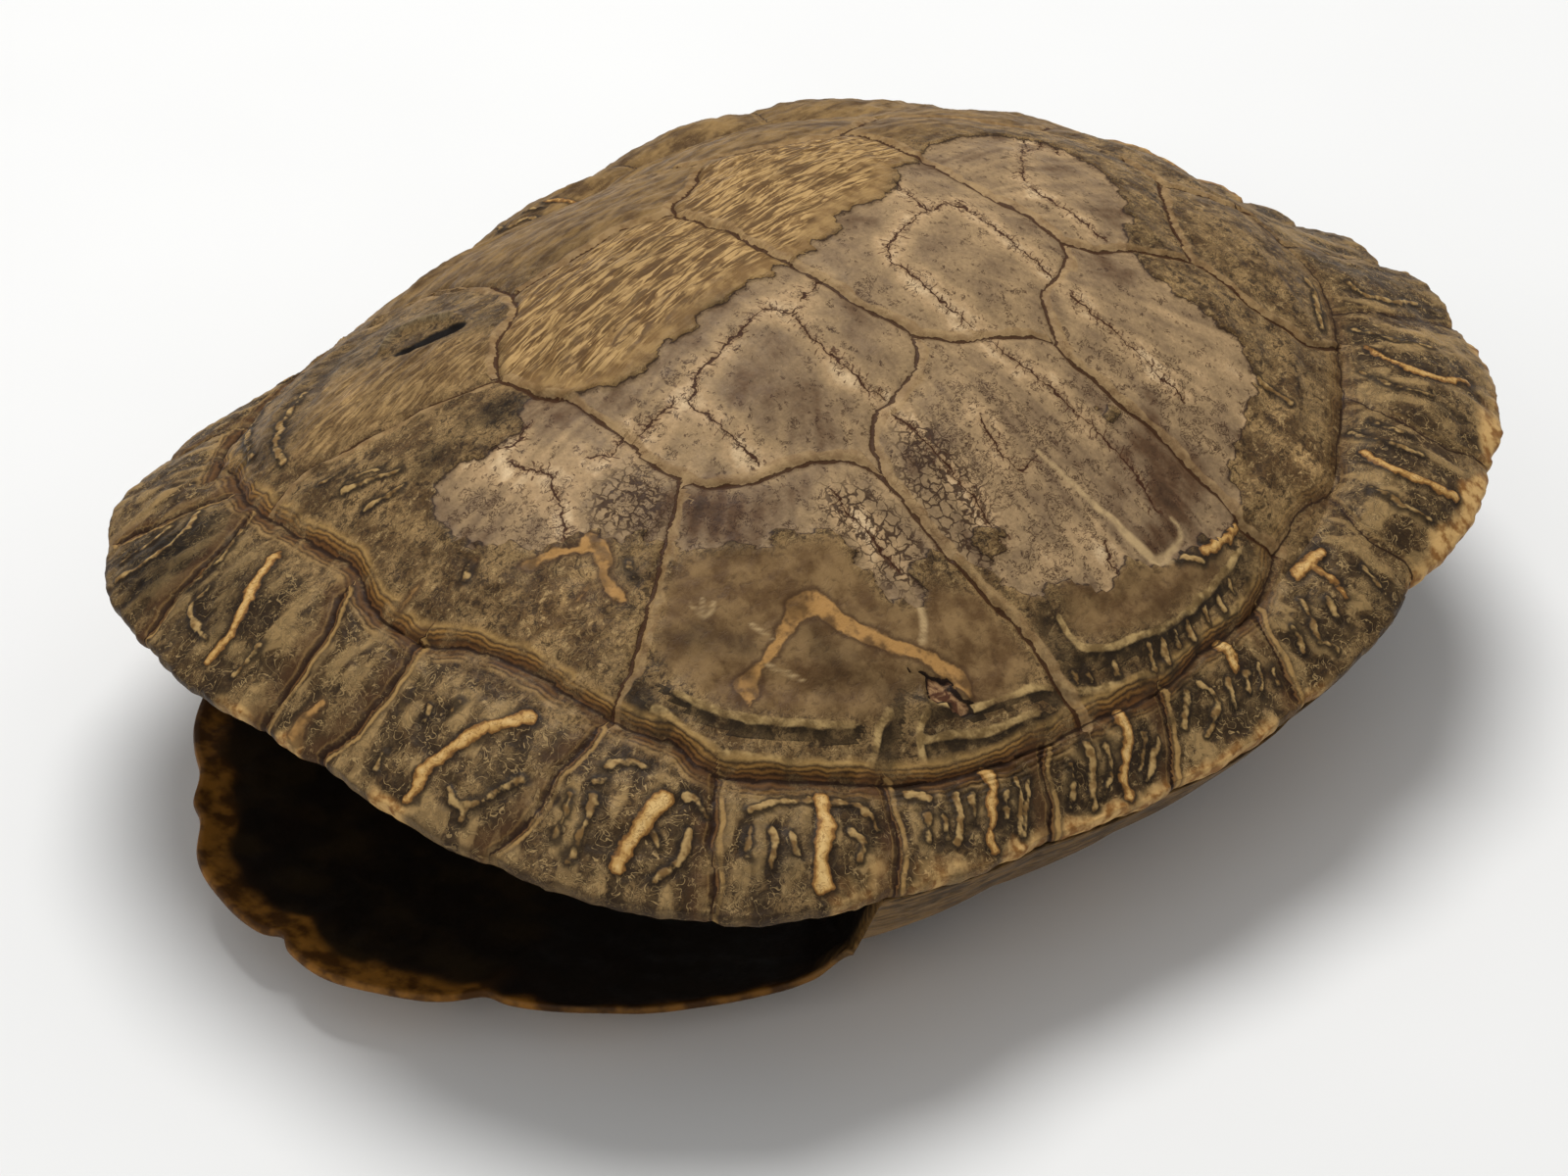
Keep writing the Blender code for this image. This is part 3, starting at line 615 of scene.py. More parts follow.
# Horn rubbed smooth on the costals.
SMOOTH = [
    [(700, 568), (780, 562), (850, 552), (895, 612), (940, 628), (950, 600), (1000, 608),
     (1055, 680), (1030, 715), (995, 725), (930, 700), (890, 735), (800, 730), (740, 722),
     (690, 690), (668, 660), (682, 600)],
    [(1085, 600), (1145, 582), (1200, 578), (1250, 560), (1240, 590), (1180, 636), (1110, 652),
     (1090, 635)],
]
# Lighter (above 0) and darker (below 0) patches: centre, reach in millimetres and strength. Most are
# the horn's and the bone's own colour; some light ones on the first vertebral and the left third
# costal are painted highlights, and the darkest at the left first costal's lower front corner
# painted shade.
TONES_AND_PAINTED_LIGHT = [
    # first vertebral
    (520, 465, 8, 0.35), (560, 490, 7, 0.25), (480, 485, 6, 0.2), (650, 520, 9, -0.3),
    (500, 432, 5, -0.9), (525, 414, 5, -0.9), (470, 542, 7, -0.5), (600, 445, 6, -0.3),
    (640, 465, 5, 0.2), (540, 540, 8, -0.2), (560, 425, 5, -0.5),
    # first costal of the left side
    (735, 520, 8, -0.9), (780, 530, 7, -0.7), (712, 510, 5, -0.5), (850, 495, 6, -0.3),
    (890, 545, 8, 0.15), (925, 600, 5, -0.4), (905, 510, 5, 0.1),
    (668, 722, 4, -1.0), (655, 700, 3, -0.7), (720, 645, 6, -0.25), (830, 645, 4, -0.5),
    (870, 690, 8, -0.35), (950, 735, 6, -0.5), (690, 630, 4, 0.2),
    # second vertebral
    (690, 440, 7, 0.4), (730, 430, 5, 0.2), (650, 400, 7, -0.5), (700, 350, 6, -0.4),
    (740, 320, 6, -0.6), (800, 385, 9, -0.4), (830, 430, 9, -0.35), (765, 400, 7, -0.3),
    (790, 350, 5, -0.3), (860, 300, 6, -0.5), (830, 285, 5, -0.5), (890, 345, 7, -0.25),
    (865, 390, 5, 0.3), (730, 470, 6, 0.2),
    # third and fourth vertebral
    (890, 225, 5, -0.7), (935, 190, 5, -0.35), (990, 240, 9, -0.3), (1010, 280, 9, -0.3),
    (950, 255, 5, -0.15), (1040, 230, 7, -0.3), (1030, 295, 5, 0.1), (1000, 320, 6, 0.25),
    (960, 300, 5, 0.1), (870, 255, 5, -0.2), (960, 170, 5, -0.6), (1010, 160, 6, -0.15),
    (1070, 200, 7, -0.1), (1130, 205, 5, -0.6), (1150, 230, 5, -0.7), (1080, 170, 6, -0.1),
    (1020, 145, 5, -0.5), (1130, 255, 4, -0.4), (1050, 170, 10, -0.35),
    # second and third costal of the left side
    (1130, 270, 6, -0.9), (1110, 300, 5, -0.2), (1250, 385, 9, 0.4), (1230, 350, 6, 0.1),
    (1180, 380, 6, -0.1), (1270, 430, 5, 0.2), (1240, 440, 6, -0.1),
    (1170, 440, 8, -0.5), (1200, 500, 8, -1.0), (1150, 470, 8, -0.8), (1190, 540, 6, -0.9),
    (1220, 470, 6, -0.5), (1100, 430, 6, -0.2), (1070, 390, 7, 0.15), (980, 380, 8, 0.15),
    (1000, 420, 6, 0.1), (950, 470, 6, -0.7), (930, 440, 4, -0.2), (1050, 470, 7, -0.25),
    (1090, 500, 6, -0.2), (1080, 570, 6, 0.5), (1110, 565, 5, 0.4), (1050, 550, 5, -0.3),
    (1140, 545, 5, -0.5), (980, 560, 6, -0.3), (1120, 600, 5, -0.3), (1080, 612, 4, -0.4),
    (1170, 615, 6, -0.3), (1230, 570, 5, -0.4), (1245, 540, 4, -0.6), (1140, 675, 4, -0.6),
    (1200, 660, 4, -0.6), (1090, 670, 4, -0.6), (1180, 672, 4, -0.6), (1240, 640, 4, -0.6),
    (1280, 590, 4, -0.5), (1300, 460, 6, -0.25), (1285, 500, 5, 0.3), (1300, 540, 4, -0.6),
    # marginals
    (1410, 625, 5, -0.4), (200, 560, 12, -0.8), (150, 600, 9, -0.6), (250, 620, 12, -0.45),
    (900, 860, 4, -0.2), (810, 890, 4, -0.6), (770, 900, 4, -0.5), (990, 830, 9, -0.3),
    (1060, 820, 8, -0.3), (1130, 780, 9, -0.15), (1240, 720, 9, -0.25), (600, 890, 3, -0.4),
    (810, 840, 9, -0.25), (880, 860, 6, -0.15), (340, 700, 7, 0.05), (660, 830, 7, 0.15),
    (1430, 440, 9, 0.1), (1420, 330, 9, 0.25), (470, 760, 9, 0.05), (1330, 640, 9, -0.2),
    # the right side's first two costals, and the rest
    (340, 380, 11, -0.6), (430, 350, 11, -0.5), (300, 440, 10, -0.5), (490, 330, 7, -0.4),
    (390, 400, 8, -0.2), (640, 270, 11, -0.35), (560, 265, 9, -0.35), (470, 300, 7, -0.3),
    (370, 345, 6, -0.4), (600, 330, 9, -0.15), (820, 180, 9, -0.15), (720, 235, 8, -0.1),
    (580, 615, 8, 0.6), (560, 640, 6, 0.3), (1320, 470, 6, 1.0), (1310, 420, 5, 0.4),
    (1000, 250, 8, 0.45), (960, 220, 5, 0.15), (1045, 240, 5, 0.2), (1060, 165, 6, -0.3),
    (400, 540, 7, 0.15), (330, 500, 5, -0.3), (520, 465, 9, -0.1), (450, 470, 5, -0.9),
    (160, 560, 9, -0.65), (240, 610, 9, -0.25), (1420, 310, 9, 0.25), (340, 690, 7, -0.2),
    (912, 760, 3, -0.5), (905, 735, 3, -0.3), (745, 520, 5, 0.25), (660, 830, 8, 0.2),
    (650, 700, 3, -0.8), (1000, 400, 7, 0.1), (345, 416, 5, 0.5), (415, 450, 3, 0.6),
    (300, 462, 4, 0.4), (1320, 470, 5, 0.4), (540, 480, 7, 0.25), (760, 520, 7, 0.1),
    (600, 240, 9, -0.15), (690, 650, 4, -0.4), (720, 652, 4, -0.45), (755, 660, 4, -0.45),
    (850, 665, 4, -0.3), (840, 706, 4, -0.25), (905, 710, 3, -0.4), (930, 705, 3, -0.4),
]
# Where the bare bone carries many fine dark hairs: centre, reach in millimetres and strength.
HAIRY = [
    (975, 400, 7, 0.6), (1010, 410, 7, 0.6), (950, 460, 7, 1.1), (1000, 480, 8, 1.0),
    (1060, 440, 8, 0.7), (1090, 500, 8, 1.0), (1130, 420, 8, 0.8), (1050, 560, 7, 0.7),
    (1180, 500, 8, 0.5), (1200, 400, 8, 0.7), (1240, 440, 7, 0.8), (1110, 360, 6, 0.7),
    (1150, 370, 6, 0.6), (780, 440, 5, 0.4), (850, 440, 6, 0.5), (880, 300, 5, 0.6),
    (650, 430, 6, 0.7), (660, 520, 8, 1.0), (640, 480, 6, 0.7), (480, 520, 7, 0.8),
    (540, 530, 8, 0.8), (500, 440, 6, 0.8), (740, 520, 9, 0.9), (870, 530, 8, 0.5),
    (690, 380, 5, 0.5), (930, 290, 5, 0.4), (1010, 300, 4, 0.3), (1100, 570, 7, 0.6),
]
# Where the rim is rubbed to orange, tan or cream: centre, reach in millimetres and strength.
WORN = [
    (228, 712, 4, 0.8), (250, 722, 4, 0.8), (298, 752, 4, 1.2), (350, 785, 6, 0.3),
    (402, 818, 5, 1.0), (428, 828, 4, 0.5), (495, 864, 4, 0.5), (560, 888, 6, 0.2),
    (636, 900, 4, 0.9), (700, 922, 5, 0.4), (835, 903, 4, 1.0), (870, 901, 5, 1.2),
    (900, 890, 4, 1.3), (940, 880, 6, 1.1), (985, 872, 6, 0.8), (1040, 858, 7, 0.9),
    (1090, 844, 7, 0.9), (1140, 825, 7, 1.0), (1190, 801, 7, 0.9), (1240, 770, 7, 1.0),
    (1290, 738, 7, 0.9), (1340, 700, 7, 0.7), (1400, 640, 7, 0.4), (1440, 590, 6, 0.7),
    (1470, 548, 8, 1.6), (1498, 500, 8, 1.8), (1508, 440, 8, 1.4), (1500, 400, 8, 0.9),
    (1480, 350, 8, 0.5),
]
# The torn slit in the right side's front costal with its widths in millimetres, and the horn
# lifted over it.
SLIT = [(410, 363), (424, 358), (438, 350), (460, 340)]
SLIT_WIDTHS = (0.4, 4.6)
SLIT_LIP = [(396, 362), (404, 350), (418, 341), (440, 333), (462, 329)]
# A chip lifted off the first costal.
CHIP = [(926, 680), (945, 688), (965, 699), (982, 710), (997, 723), (975, 727), (955, 727),
        (940, 722), (942, 708), (936, 694)]


# ---------------------------------------------------------------- the marks laid on the shell
STEP = 0.8                # millimetres between the points of a line
MARGIN_POINTS = 400       # along the part of the margin that the photo hides
PATCH_FALL = 1.3          # how fast a patch fades towards its reach
# Seams between the marginals that the photo hides, counted from the head as in RIM_POINTS.
HIDDEN_LEFT, HIDDEN_RIGHT = range(10, 14), range(4, 13)


def laid(pixels):
    """A smooth line on the shell through pixels of the photo."""
    return smooth_line(on_shell(pixels), STEP)


def laid_outline(pixels):
    """A closed outline on the shell with straight sides between pixels of the photo."""
    points = on_shell(pixels)
    return np.vstack([points, points[:1]])


def laid_all(lines):
    return [laid(pixels) for pixels in lines]


def laid_marks(marks):
    """Lines of marks and their widths at the start and the end."""
    return laid_all([mark[-1] for mark in marks]), [mark[:2] for mark in marks]


def laid_outlines(outlines):
    return [laid_outline(pixels) for pixels in outlines]


def hidden_seams():
    """Seams that the photo doesn't show, on the lines of the CAD."""
    rear = [on_dome(smooth_line(seam, STEP)) for seam in REAR_COSTAL_SEAMS + [TAIL_SEAM]]
    first = smooth_line(FIRST_COSTAL_SEAM, STEP)
    hidden_part = on_dome(first[len(first) // 3:])
    return mirrored(rear) + rear[-1:] + mirrored([hidden_part])


def rim_seam(inner, rim, side):
    """Seam across the marginals from one angle to another; side is 1 on the left, or -1."""
    share = np.linspace(0, 1, 40)
    return dome_point(side * (inner + (rim - inner) * share), 1 + share)


def marginal_seams():
    """Seams between the marginals: those seen, and the CAD's where the photo hides them."""
    pairs = list(zip(INNER_ANGLES, RIM_ANGLES))
    return laid_all(MARGINALS_SEEN) + [rim_seam(*pairs[i], 1) for i in HIDDEN_LEFT] \
        + [rim_seam(*pairs[i], -1) for i in HIDDEN_RIGHT]


def margin_line():
    """Seam between the marginals and the scutes within them, all the way round."""
    seen = laid(MARGIN_SEEN)
    first, last = level_of(seen[[0, -1], 0], seen[[0, -1], 1])[0]
    rest = np.linspace(last, first + 2 * pi, MARGIN_POINTS)
    return [seen, dome_point(np.where(rest > pi, rest - 2 * pi, rest), np.ones(MARGIN_POINTS))]


def both_sides(marks):
    """Lines and widths of marks, with those of the left side's marginals also on the right."""
    lines, widths = laid_marks(marks)
    for line, width in list(zip(lines, widths)):
        theta, u = level_of(line[:, 0], line[:, 1])
        if u.mean() > 1 and BARS_MIRRORED[0] < np.degrees(theta.mean()) < BARS_MIRRORED[1]:
            lines += mirrored([line])
            widths.append(width)
    return lines, widths


DOME_LINES = laid_all(SEAMS_SEEN) + hidden_seams()
MARGIN_LINES = margin_line()
MARGINAL_LINES = marginal_seams()
CRACK_LINES = laid_all(CRACKS)
BAR_LINES, BAR_WIDTHS = both_sides(BARS)
DULL_LINES, DULL_WIDTHS = both_sides(DULL_BARS)
FAINT_LINES, FAINT_WIDTHS = laid_marks(FAINT)
SCAR_LINES, SCAR_WIDTHS = laid_marks(SCARS)
RIDGE_LINES = laid_marks(RIDGES)[0]
SLIT_LINE, LIP_LINE = laid_all([SLIT, SLIT_LIP])
BONE_OUTLINE, HALF_GOLD_OUTLINE, CHIP_OUTLINE = laid_outlines([BONE_PATCH, HALF_GOLD, CHIP])
FLAKE_OUTLINES, GOLD_OUTLINES, CRACKLE_OUTLINES, SMOOTH_OUTLINES = [
    laid_outlines(outlines) for outlines in (FLAKES, GOLD, CRACKLE, SMOOTH)]


def signed(points, outline, reach):
    """Distance to an outline, above 0 inside it."""
    distance = nearest(points, [outline], reach)
    return np.where(inside(points, outline[:-1]), distance, -distance)


def soft_region(points, outlines, soft):
    """1 within any of the outlines and 0 outside, with an edge that is soft on both sides."""
    mask = np.zeros(len(points))
    for outline in outlines:
        mask = np.maximum(mask, step_up(signed(points, outline, 2 * soft), -soft, soft))
    return mask


def warped(points, amount, size, shift=0.0):
    """Points moved about by noise, for ragged edges."""
    return points + amount * np.stack([noise(points, size, 2, shift + k) for k in (0.3, 5.1, 9.7)],
                                      axis=-1)


def patches(points, table):
    """Sum of soft patches, each given as a pixel, its reach and its strength."""
    total = np.zeros(len(points))
    wavy = warped(points, 2.0, 6.0)
    for centre, (x, y, reach, strength) in zip(on_shell([row[:2] for row in table]), table):
        away = ((wavy - centre) ** 2).sum(axis=1)
        total += strength * np.exp(-away / reach ** 2 * PATCH_FALL)
    return total


# How far from a line or an outline its field is measured, in millimetres.
SEAM_REACH, BONE_REACH, SLIT_REACH, RIDGE_REACH = 14.0, 12.0, 12.0, 9.0
CRACK_REACH, CHIP_REACH, MARK_REACH = 6.0, 6.0, 4.0
# Amount and size in millimetres of the noise that moves seams, torn edges, marks, cracks and scars.
GENTLE, RAGGED, WAVY, CRACKED, SCARRED = (0.4, 5.0), (1.0, 2.6), (0.35, 2.5), (0.5, 2.2), (0.2, 2.0)
# Fields of a place that is far from every mark.
FAR_FIELDS = {
    **dict.fromkeys(["dome_seam", "dome_across", "margin_seam", "margin_across", "marginal_seam",
                     "marginal_across"], SEAM_REACH),
    **dict.fromkeys(["crack", "crack_across"], CRACK_REACH),
    **dict.fromkeys(["ridge", "ridge_across"], RIDGE_REACH),
    **dict.fromkeys(["slit", "lip"], SLIT_REACH),
    **dict.fromkeys(["bar", "dull", "faint", "scar"], MARK_REACH),
    **dict.fromkeys(["crack_run", "gold", "crackle", "rubbed", "tone_and_painted_light", "hairy", "worn", "golden",
                     "rays", "outer", "crisp"], 0.0),
    "bone": -BONE_REACH, "chip": -CHIP_REACH, "rim_gap": 30.0,
}


def look_fields(points, theta, u):
    """Everything that the relief and the material of the carapace go by, at each point."""
    gentle, ragged, wavy = [warped(points, *by) for by in (GENTLE, RAGGED, WAVY)]
    f = {}
    for name, lines in (("dome", DOME_LINES), ("margin", MARGIN_LINES),
                        ("marginal", MARGINAL_LINES)):
        distance, side, _ = nearest_side(gentle, lines, SEAM_REACH)
        if name == "marginal":
            distance = np.where(u > 0.9, distance, SEAM_REACH)
        f[name + "_seam"], f[name + "_across"] = distance, distance * side
    f["ridge"], side, _ = nearest_side(gentle, RIDGE_LINES, RIDGE_REACH)
    f["ridge_across"] = f["ridge"] * side
    f["crack"], side, f["crack_run"] = nearest_side(warped(points, *CRACKED), CRACK_LINES,
                                                    CRACK_REACH)
    f["crack_across"] = f["crack"] * side
    for name, lines, widths in (("bar", BAR_LINES, BAR_WIDTHS), ("dull", DULL_LINES, DULL_WIDTHS),
                                ("faint", FAINT_LINES, FAINT_WIDTHS)):
        f[name] = nearest(wavy, lines, MARK_REACH, widths)
    f["scar"] = nearest(warped(points, *SCARRED), SCAR_LINES, MARK_REACH, SCAR_WIDTHS)
    f["slit"] = nearest(points, [SLIT_LINE], SLIT_REACH, [SLIT_WIDTHS])
    f["lip"] = nearest(points, [LIP_LINE], SLIT_REACH)
    f["chip"] = signed(ragged, CHIP_OUTLINE, CHIP_REACH)
    f["bone"] = signed(ragged, BONE_OUTLINE, BONE_REACH)
    for flake in FLAKE_OUTLINES:
        f["bone"] = np.minimum(f["bone"], -signed(ragged, flake, BONE_REACH))
    f["gold"] = np.maximum(soft_region(points, GOLD_OUTLINES, 2.0),
                           0.5 * soft_region(points, [HALF_GOLD_OUTLINE], 3.0))
    f["crackle"] = soft_region(points, CRACKLE_OUTLINES, 3.0)
    f["rubbed"] = soft_region(points, SMOOTH_OUTLINES, 2.0)
    f["tone_and_painted_light"], f["hairy"] = patches(points, TONES_AND_PAINTED_LIGHT), patches(points, HAIRY)
    # the rim's wear that the photo hides: strong round the rear, and some on the right
    f["worn"] = patches(points, WORN) + 0.5 * step_up(np.abs(theta), radians(120), radians(150)) \
        + 0.35 * (theta < radians(-35))
    # the right of the back has a more golden horn
    f["golden"] = step_up(-points[:, 0], 8.0, 22.0) * step_up(points[:, 1], -45.0, -25.0)
    # streaks that fan out from the top, of about 1.7 mm at a reach of 75 mm
    fan = np.stack([theta * 75 / 1.7, u * 4.0, np.zeros_like(u)], axis=-1)
    f["rays"] = noise(fan, 1.0, 2, 1.3) * step_up(u, 0.25, 0.5)
    f["outer"] = step_up(u, 1.0, 1.08)
    # the growth lines beside the margins are faint round the rear
    f["crisp"] = 1 - 0.7 * step_up(np.abs(theta), radians(98), radians(116))
    band = dome_point(theta, np.full_like(u, 2.0)) - dome_point(theta, np.ones_like(u))
    f["rim_gap"] = (2 - u) * np.linalg.norm(band, axis=1)
    return f


def bell(gap, width):
    """1 where the gap is 0, falling off to both sides."""
    return np.exp(-(gap / width) ** 2)


def waves(gap, start, period):
    """Waves across a mark, rising from 0 at the gap they start at."""
    return np.sin(2 * pi * (gap - start) / period)


# Grooves and swellings across the marks: field, where along it the middle lies, width, and height
# where the growth lines are faint and where they are crisp. All in millimetres.
PROFILES = [
    ("dome_seam", 0.0, 1.7, -0.25, -0.25), ("dome_across", 1.3, 0.8, 0.35, 0.35),
    ("margin_seam", 0.0, 0.9, -0.25, -0.75), ("margin_seam", 0.0, 2.6, 0.0, -0.4),
    ("marginal_seam", 0.0, 0.75, -0.25, -0.65), ("lip", 0.0, 1.5, 1.6, 1.6),
    ("chip", -0.8, 0.7, 0.35, 0.35),
]
BONE_DEPTH, CRACK_DEPTH, SLIT_DEPTH, CHIP_DEPTH, MARK_HEIGHT = 0.6, 0.28, 1.0, 0.7, 0.22


def relief(points, theta, u, f):
    """Height of the real surface over the smooth one, in millimetres."""
    seam = np.minimum(np.minimum(f["dome_seam"], f["margin_seam"]), f["marginal_seam"])
    on_bone = step_up(f["bone"], -0.1, 0.35)
    crisp = f["crisp"]
    height = 1 - bell(seam, 9.0)
    height -= (0.55 - 0.3 * on_bone) * bell(f["dome_seam"], 0.6)
    for key, middle, width, faint, strong in PROFILES:
        height += (faint + (strong - faint) * crisp) * bell(f[key] - middle, width)
    # growth rings beside the margins, and a ridge and a hollow round the costals' lower edges
    rings = 0.25 * crisp * (0.65 + 0.5 * noise(points, 5.0, 1, 8.0))
    height += rings * bell(f["margin_seam"], 4.5) * waves(f["margin_seam"], 0.55, 1.0)
    height += 0.22 * crisp * bell(f["marginal_seam"], 2.4) * waves(f["marginal_seam"], 0.2, 1.1)
    turn = np.abs(theta)
    here = step_up(turn, radians(26), radians(38)) * step_up(-turn, -radians(158), -radians(140)) \
        * np.exp(-(3.0 / (f["dome_seam"] + 0.1)) ** 2)
    level = u + 0.006 * noise(points, 12.0)
    height += (0.85 - 0.6 * bell(f["ridge"], 7.0)) * here * bell(level - 0.895, 0.017)
    height -= 0.55 * here * bell(level - 0.852, 0.022)
    for line, (tall, wide, pixels) in zip(RIDGE_LINES, RIDGES):
        gap = nearest(points, [line], 6.0)
        height += tall * (bell(gap, wide) - 0.4 * bell(gap, 2 * wide))
    # horn worn off the bone with its lifted edge, cracks, the slit and the chip
    height -= BONE_DEPTH * on_bone
    height += 0.25 * bell(f["bone"] + 0.9, 0.8) * (0.5 + 0.5 * noise(points, 5.0))
    height -= CRACK_DEPTH * bell(f["crack"], 0.4) * step_up(f["bone"], -0.5, 0.5)
    height -= SLIT_DEPTH * bell(np.maximum(f["slit"], 0), 0.8)
    height -= CHIP_DEPTH * step_up(f["chip"], -0.2, 0.5)
    # wrinkles running fore and aft in the gold horn, and out over the marginals
    leaning = points + np.outer(points[:, 1], [0.12, 0, 0])
    wrinkles = noise(leaning, (1.25, 7.0, 5.0), 2, 3.0)
    height += 0.26 * f["gold"] * step_up(-f["bone"], 1.5, 6.0) * wrinkles
    height += 0.2 * step_up(u, 1.03, 1.15) * f["rays"]
    # the yellow marks stand a little proud of the marginals' worn horn, with a hollow round them
    mark = np.minimum(f["bar"], f["dull"])
    height += MARK_HEIGHT * (1 - step_up(mark, -0.2, 0.3)) - 0.14 * bell(mark - 0.8, 0.5)
    # unevenness all over
    height += 0.3 * noise(points, 17.0) + 0.13 * noise(points, 5.0, 1, 2.0)
    return height + (0.10 - 0.07 * on_bone) * noise(points, 1.7, 2, 4.0)


# ---------------------------------------------------------------- meshes
DOME_GRID, INNER_GRID = 305, 77     # corners along a side: 4 outer edges meet each inner one
RING_ROWS, INNER_ROWS = 56, 9       # of the marginals, outside and inside
STRIP = (0.25, 0.5, 0.75)           # where the rows of an edge's bulge lie across it
RIM_BULGE, PLATE_BULGE = 0.35, 0.4
TOP_GAP = 0.004                     # the dome's middle corner keeps this far from the pole


def disc_grid(n):
    """Angles and levels of a square grid wrapped onto a disc, and its edge in order."""
    side = np.linspace(-1, 1, n)
    a, b = np.meshgrid(side, side, indexing="ij")
    wide = np.abs(a) >= np.abs(b)
    reach = np.where(wide, a, b)
    safe = np.where(np.abs(reach) < 1e-9, 1.0, reach)
    angle = np.where(wide, pi / 4 * b / safe, pi / 2 - pi / 4 * a / safe)
    x, y = reach * np.cos(angle), reach * np.sin(angle)
    index = np.arange(n * n).reshape(n, n)
    edge = np.concatenate([index[:-1, 0], index[-1, :-1], index[:0:-1, -1], index[0, :0:-1]])
    faces = np.stack([index[:-1, :-1], index[1:, :-1], index[1:, 1:], index[:-1, 1:]], axis=-1)
    return np.arctan2(x, -y).ravel(), np.hypot(x, y).ravel(), faces.reshape(-1, 4), edge


def make_piece(name, points, quads, triangles, sharp, fields, material):
    """A mesh object with the fields as attributes; sharp is a ring of its corners or None."""
    quads, triangles = np.asarray(quads), np.asarray(triangles, int).reshape(-1, 3)
    if volume_sign(points, quads, triangles) < 0:
        quads, triangles = quads[:, ::-1], triangles[:, ::-1]
    mesh = bpy.data.meshes.new(name)
    mesh.from_pydata((points * MM).tolist(), [], quads.tolist() + triangles.tolist())
    for key, values in fields.items():
        mesh.attributes.new(key, 'FLOAT', 'POINT').data.foreach_set("value", values.astype("f"))
    mesh.polygons.foreach_set("use_smooth", np.ones(len(mesh.polygons), bool))
    if sharp is not None:
        ends = np.empty(2 * len(mesh.edges), int)
        mesh.edges.foreach_get("vertices", ends)
        on_ring = np.isin(ends, sharp).reshape(-1, 2).all(axis=1)
        mesh.edges.foreach_set("use_edge_sharp", on_ring)
    mesh.update()
    mesh.materials.append(material)
    piece = bpy.data.objects.new(name, mesh)
    bpy.context.scene.collection.objects.link(piece)
    return piece


def volume_sign(points, quads, triangles):
    """Above 0 if the faces of a closed mesh look outward, and below 0 if they look in."""
    corners = [points[quads[:, [0, 1, 2]]], points[quads[:, [0, 2, 3]]], points[triangles]]
    return sum(np.einsum("ij,ij->", t[:, 0], np.cross(t[:, 1], t[:, 2])) for t in corners)


def outer_surface(theta, u):
    """Points of the outer surface with its relief, and the fields there."""
    smooth = dome_point(theta, u)
    fields = look_fields(smooth, theta, u)
    height = relief(smooth, theta, u, fields)
    return smooth + dome_normal(theta, np.minimum(u, 1.99)) * height[:, None], fields


def inner_surface(theta, u):
    """Points of the uneven inner surface, a wall's thickness inside the smooth outer one."""
    wall = DOME_WALL + (RIM_WALL - DOME_WALL) * np.clip(u - WALL_CHANGE, 0, 1)
    smooth = dome_point(theta, u)
    ribs = 0.35 * noise(smooth, 14.0) + 0.1 * noise(smooth, 4.0)
    return smooth - dome_normal(theta, np.minimum(u, 1.99)) * (wall + ribs)[:, None]


def joined_fields(parts):
    """Fields of several stretches of corners, one after another, with 'under' added."""
    joined = {key: np.concatenate([fields[key] for fields, under in parts]) for key in parts[0][0]}
    sizes = [len(fields["bone"]) for fields, under in parts]
    joined["under"] = np.concatenate([np.full(n, float(under))
                                      for n, (fields, under) in zip(sizes, parts)])
    return joined


def blank_fields(count):
    """Fields of corners on the inside."""
    return {key: np.full(count, value) for key, value in FAR_FIELDS.items()}


def carapace_dome(material):
    """The dome's outer face and its coarser inner one, joined along the marginals' inner seam."""
    theta, u, outer_faces, edge = disc_grid(DOME_GRID)
    outer, fields = outer_surface(theta, np.maximum(u, TOP_GAP))
    in_theta, in_u, inner_faces, in_edge = disc_grid(INNER_GRID)
    inner = inner_surface(in_theta, np.maximum(in_u, TOP_GAP))
    inner_faces = inner_faces[:, ::-1] + len(outer)
    in_edge = in_edge + len(outer)
    triangles = []
    ratio = len(edge) // len(in_edge)
    for k, low in enumerate(in_edge):
        next_low = in_edge[(k + 1) % len(in_edge)]
        outs = [edge[(ratio * k + j) % len(edge)] for j in range(ratio + 1)]
        half = ratio // 2
        triangles += [(low, outs[j + 1], outs[j]) for j in range(half)]
        triangles.append((low, next_low, outs[half]))
        triangles += [(next_low, outs[j + 1], outs[j]) for j in range(half, ratio)]
    parts = [(fields, 0), (blank_fields(len(inner)), 1)]
    return make_piece("carapace_dome", np.vstack([outer, inner]),
                      np.vstack([outer_faces, inner_faces]), triangles, edge,
                      joined_fields(parts), material)


def bulging(start, end, way, bulge):
    """Rows of corners between two edges, swelling outward in the middle."""
    return [start + (end - start) * share + bulge * 4 * share * (1 - share) * way
            for share in STRIP]


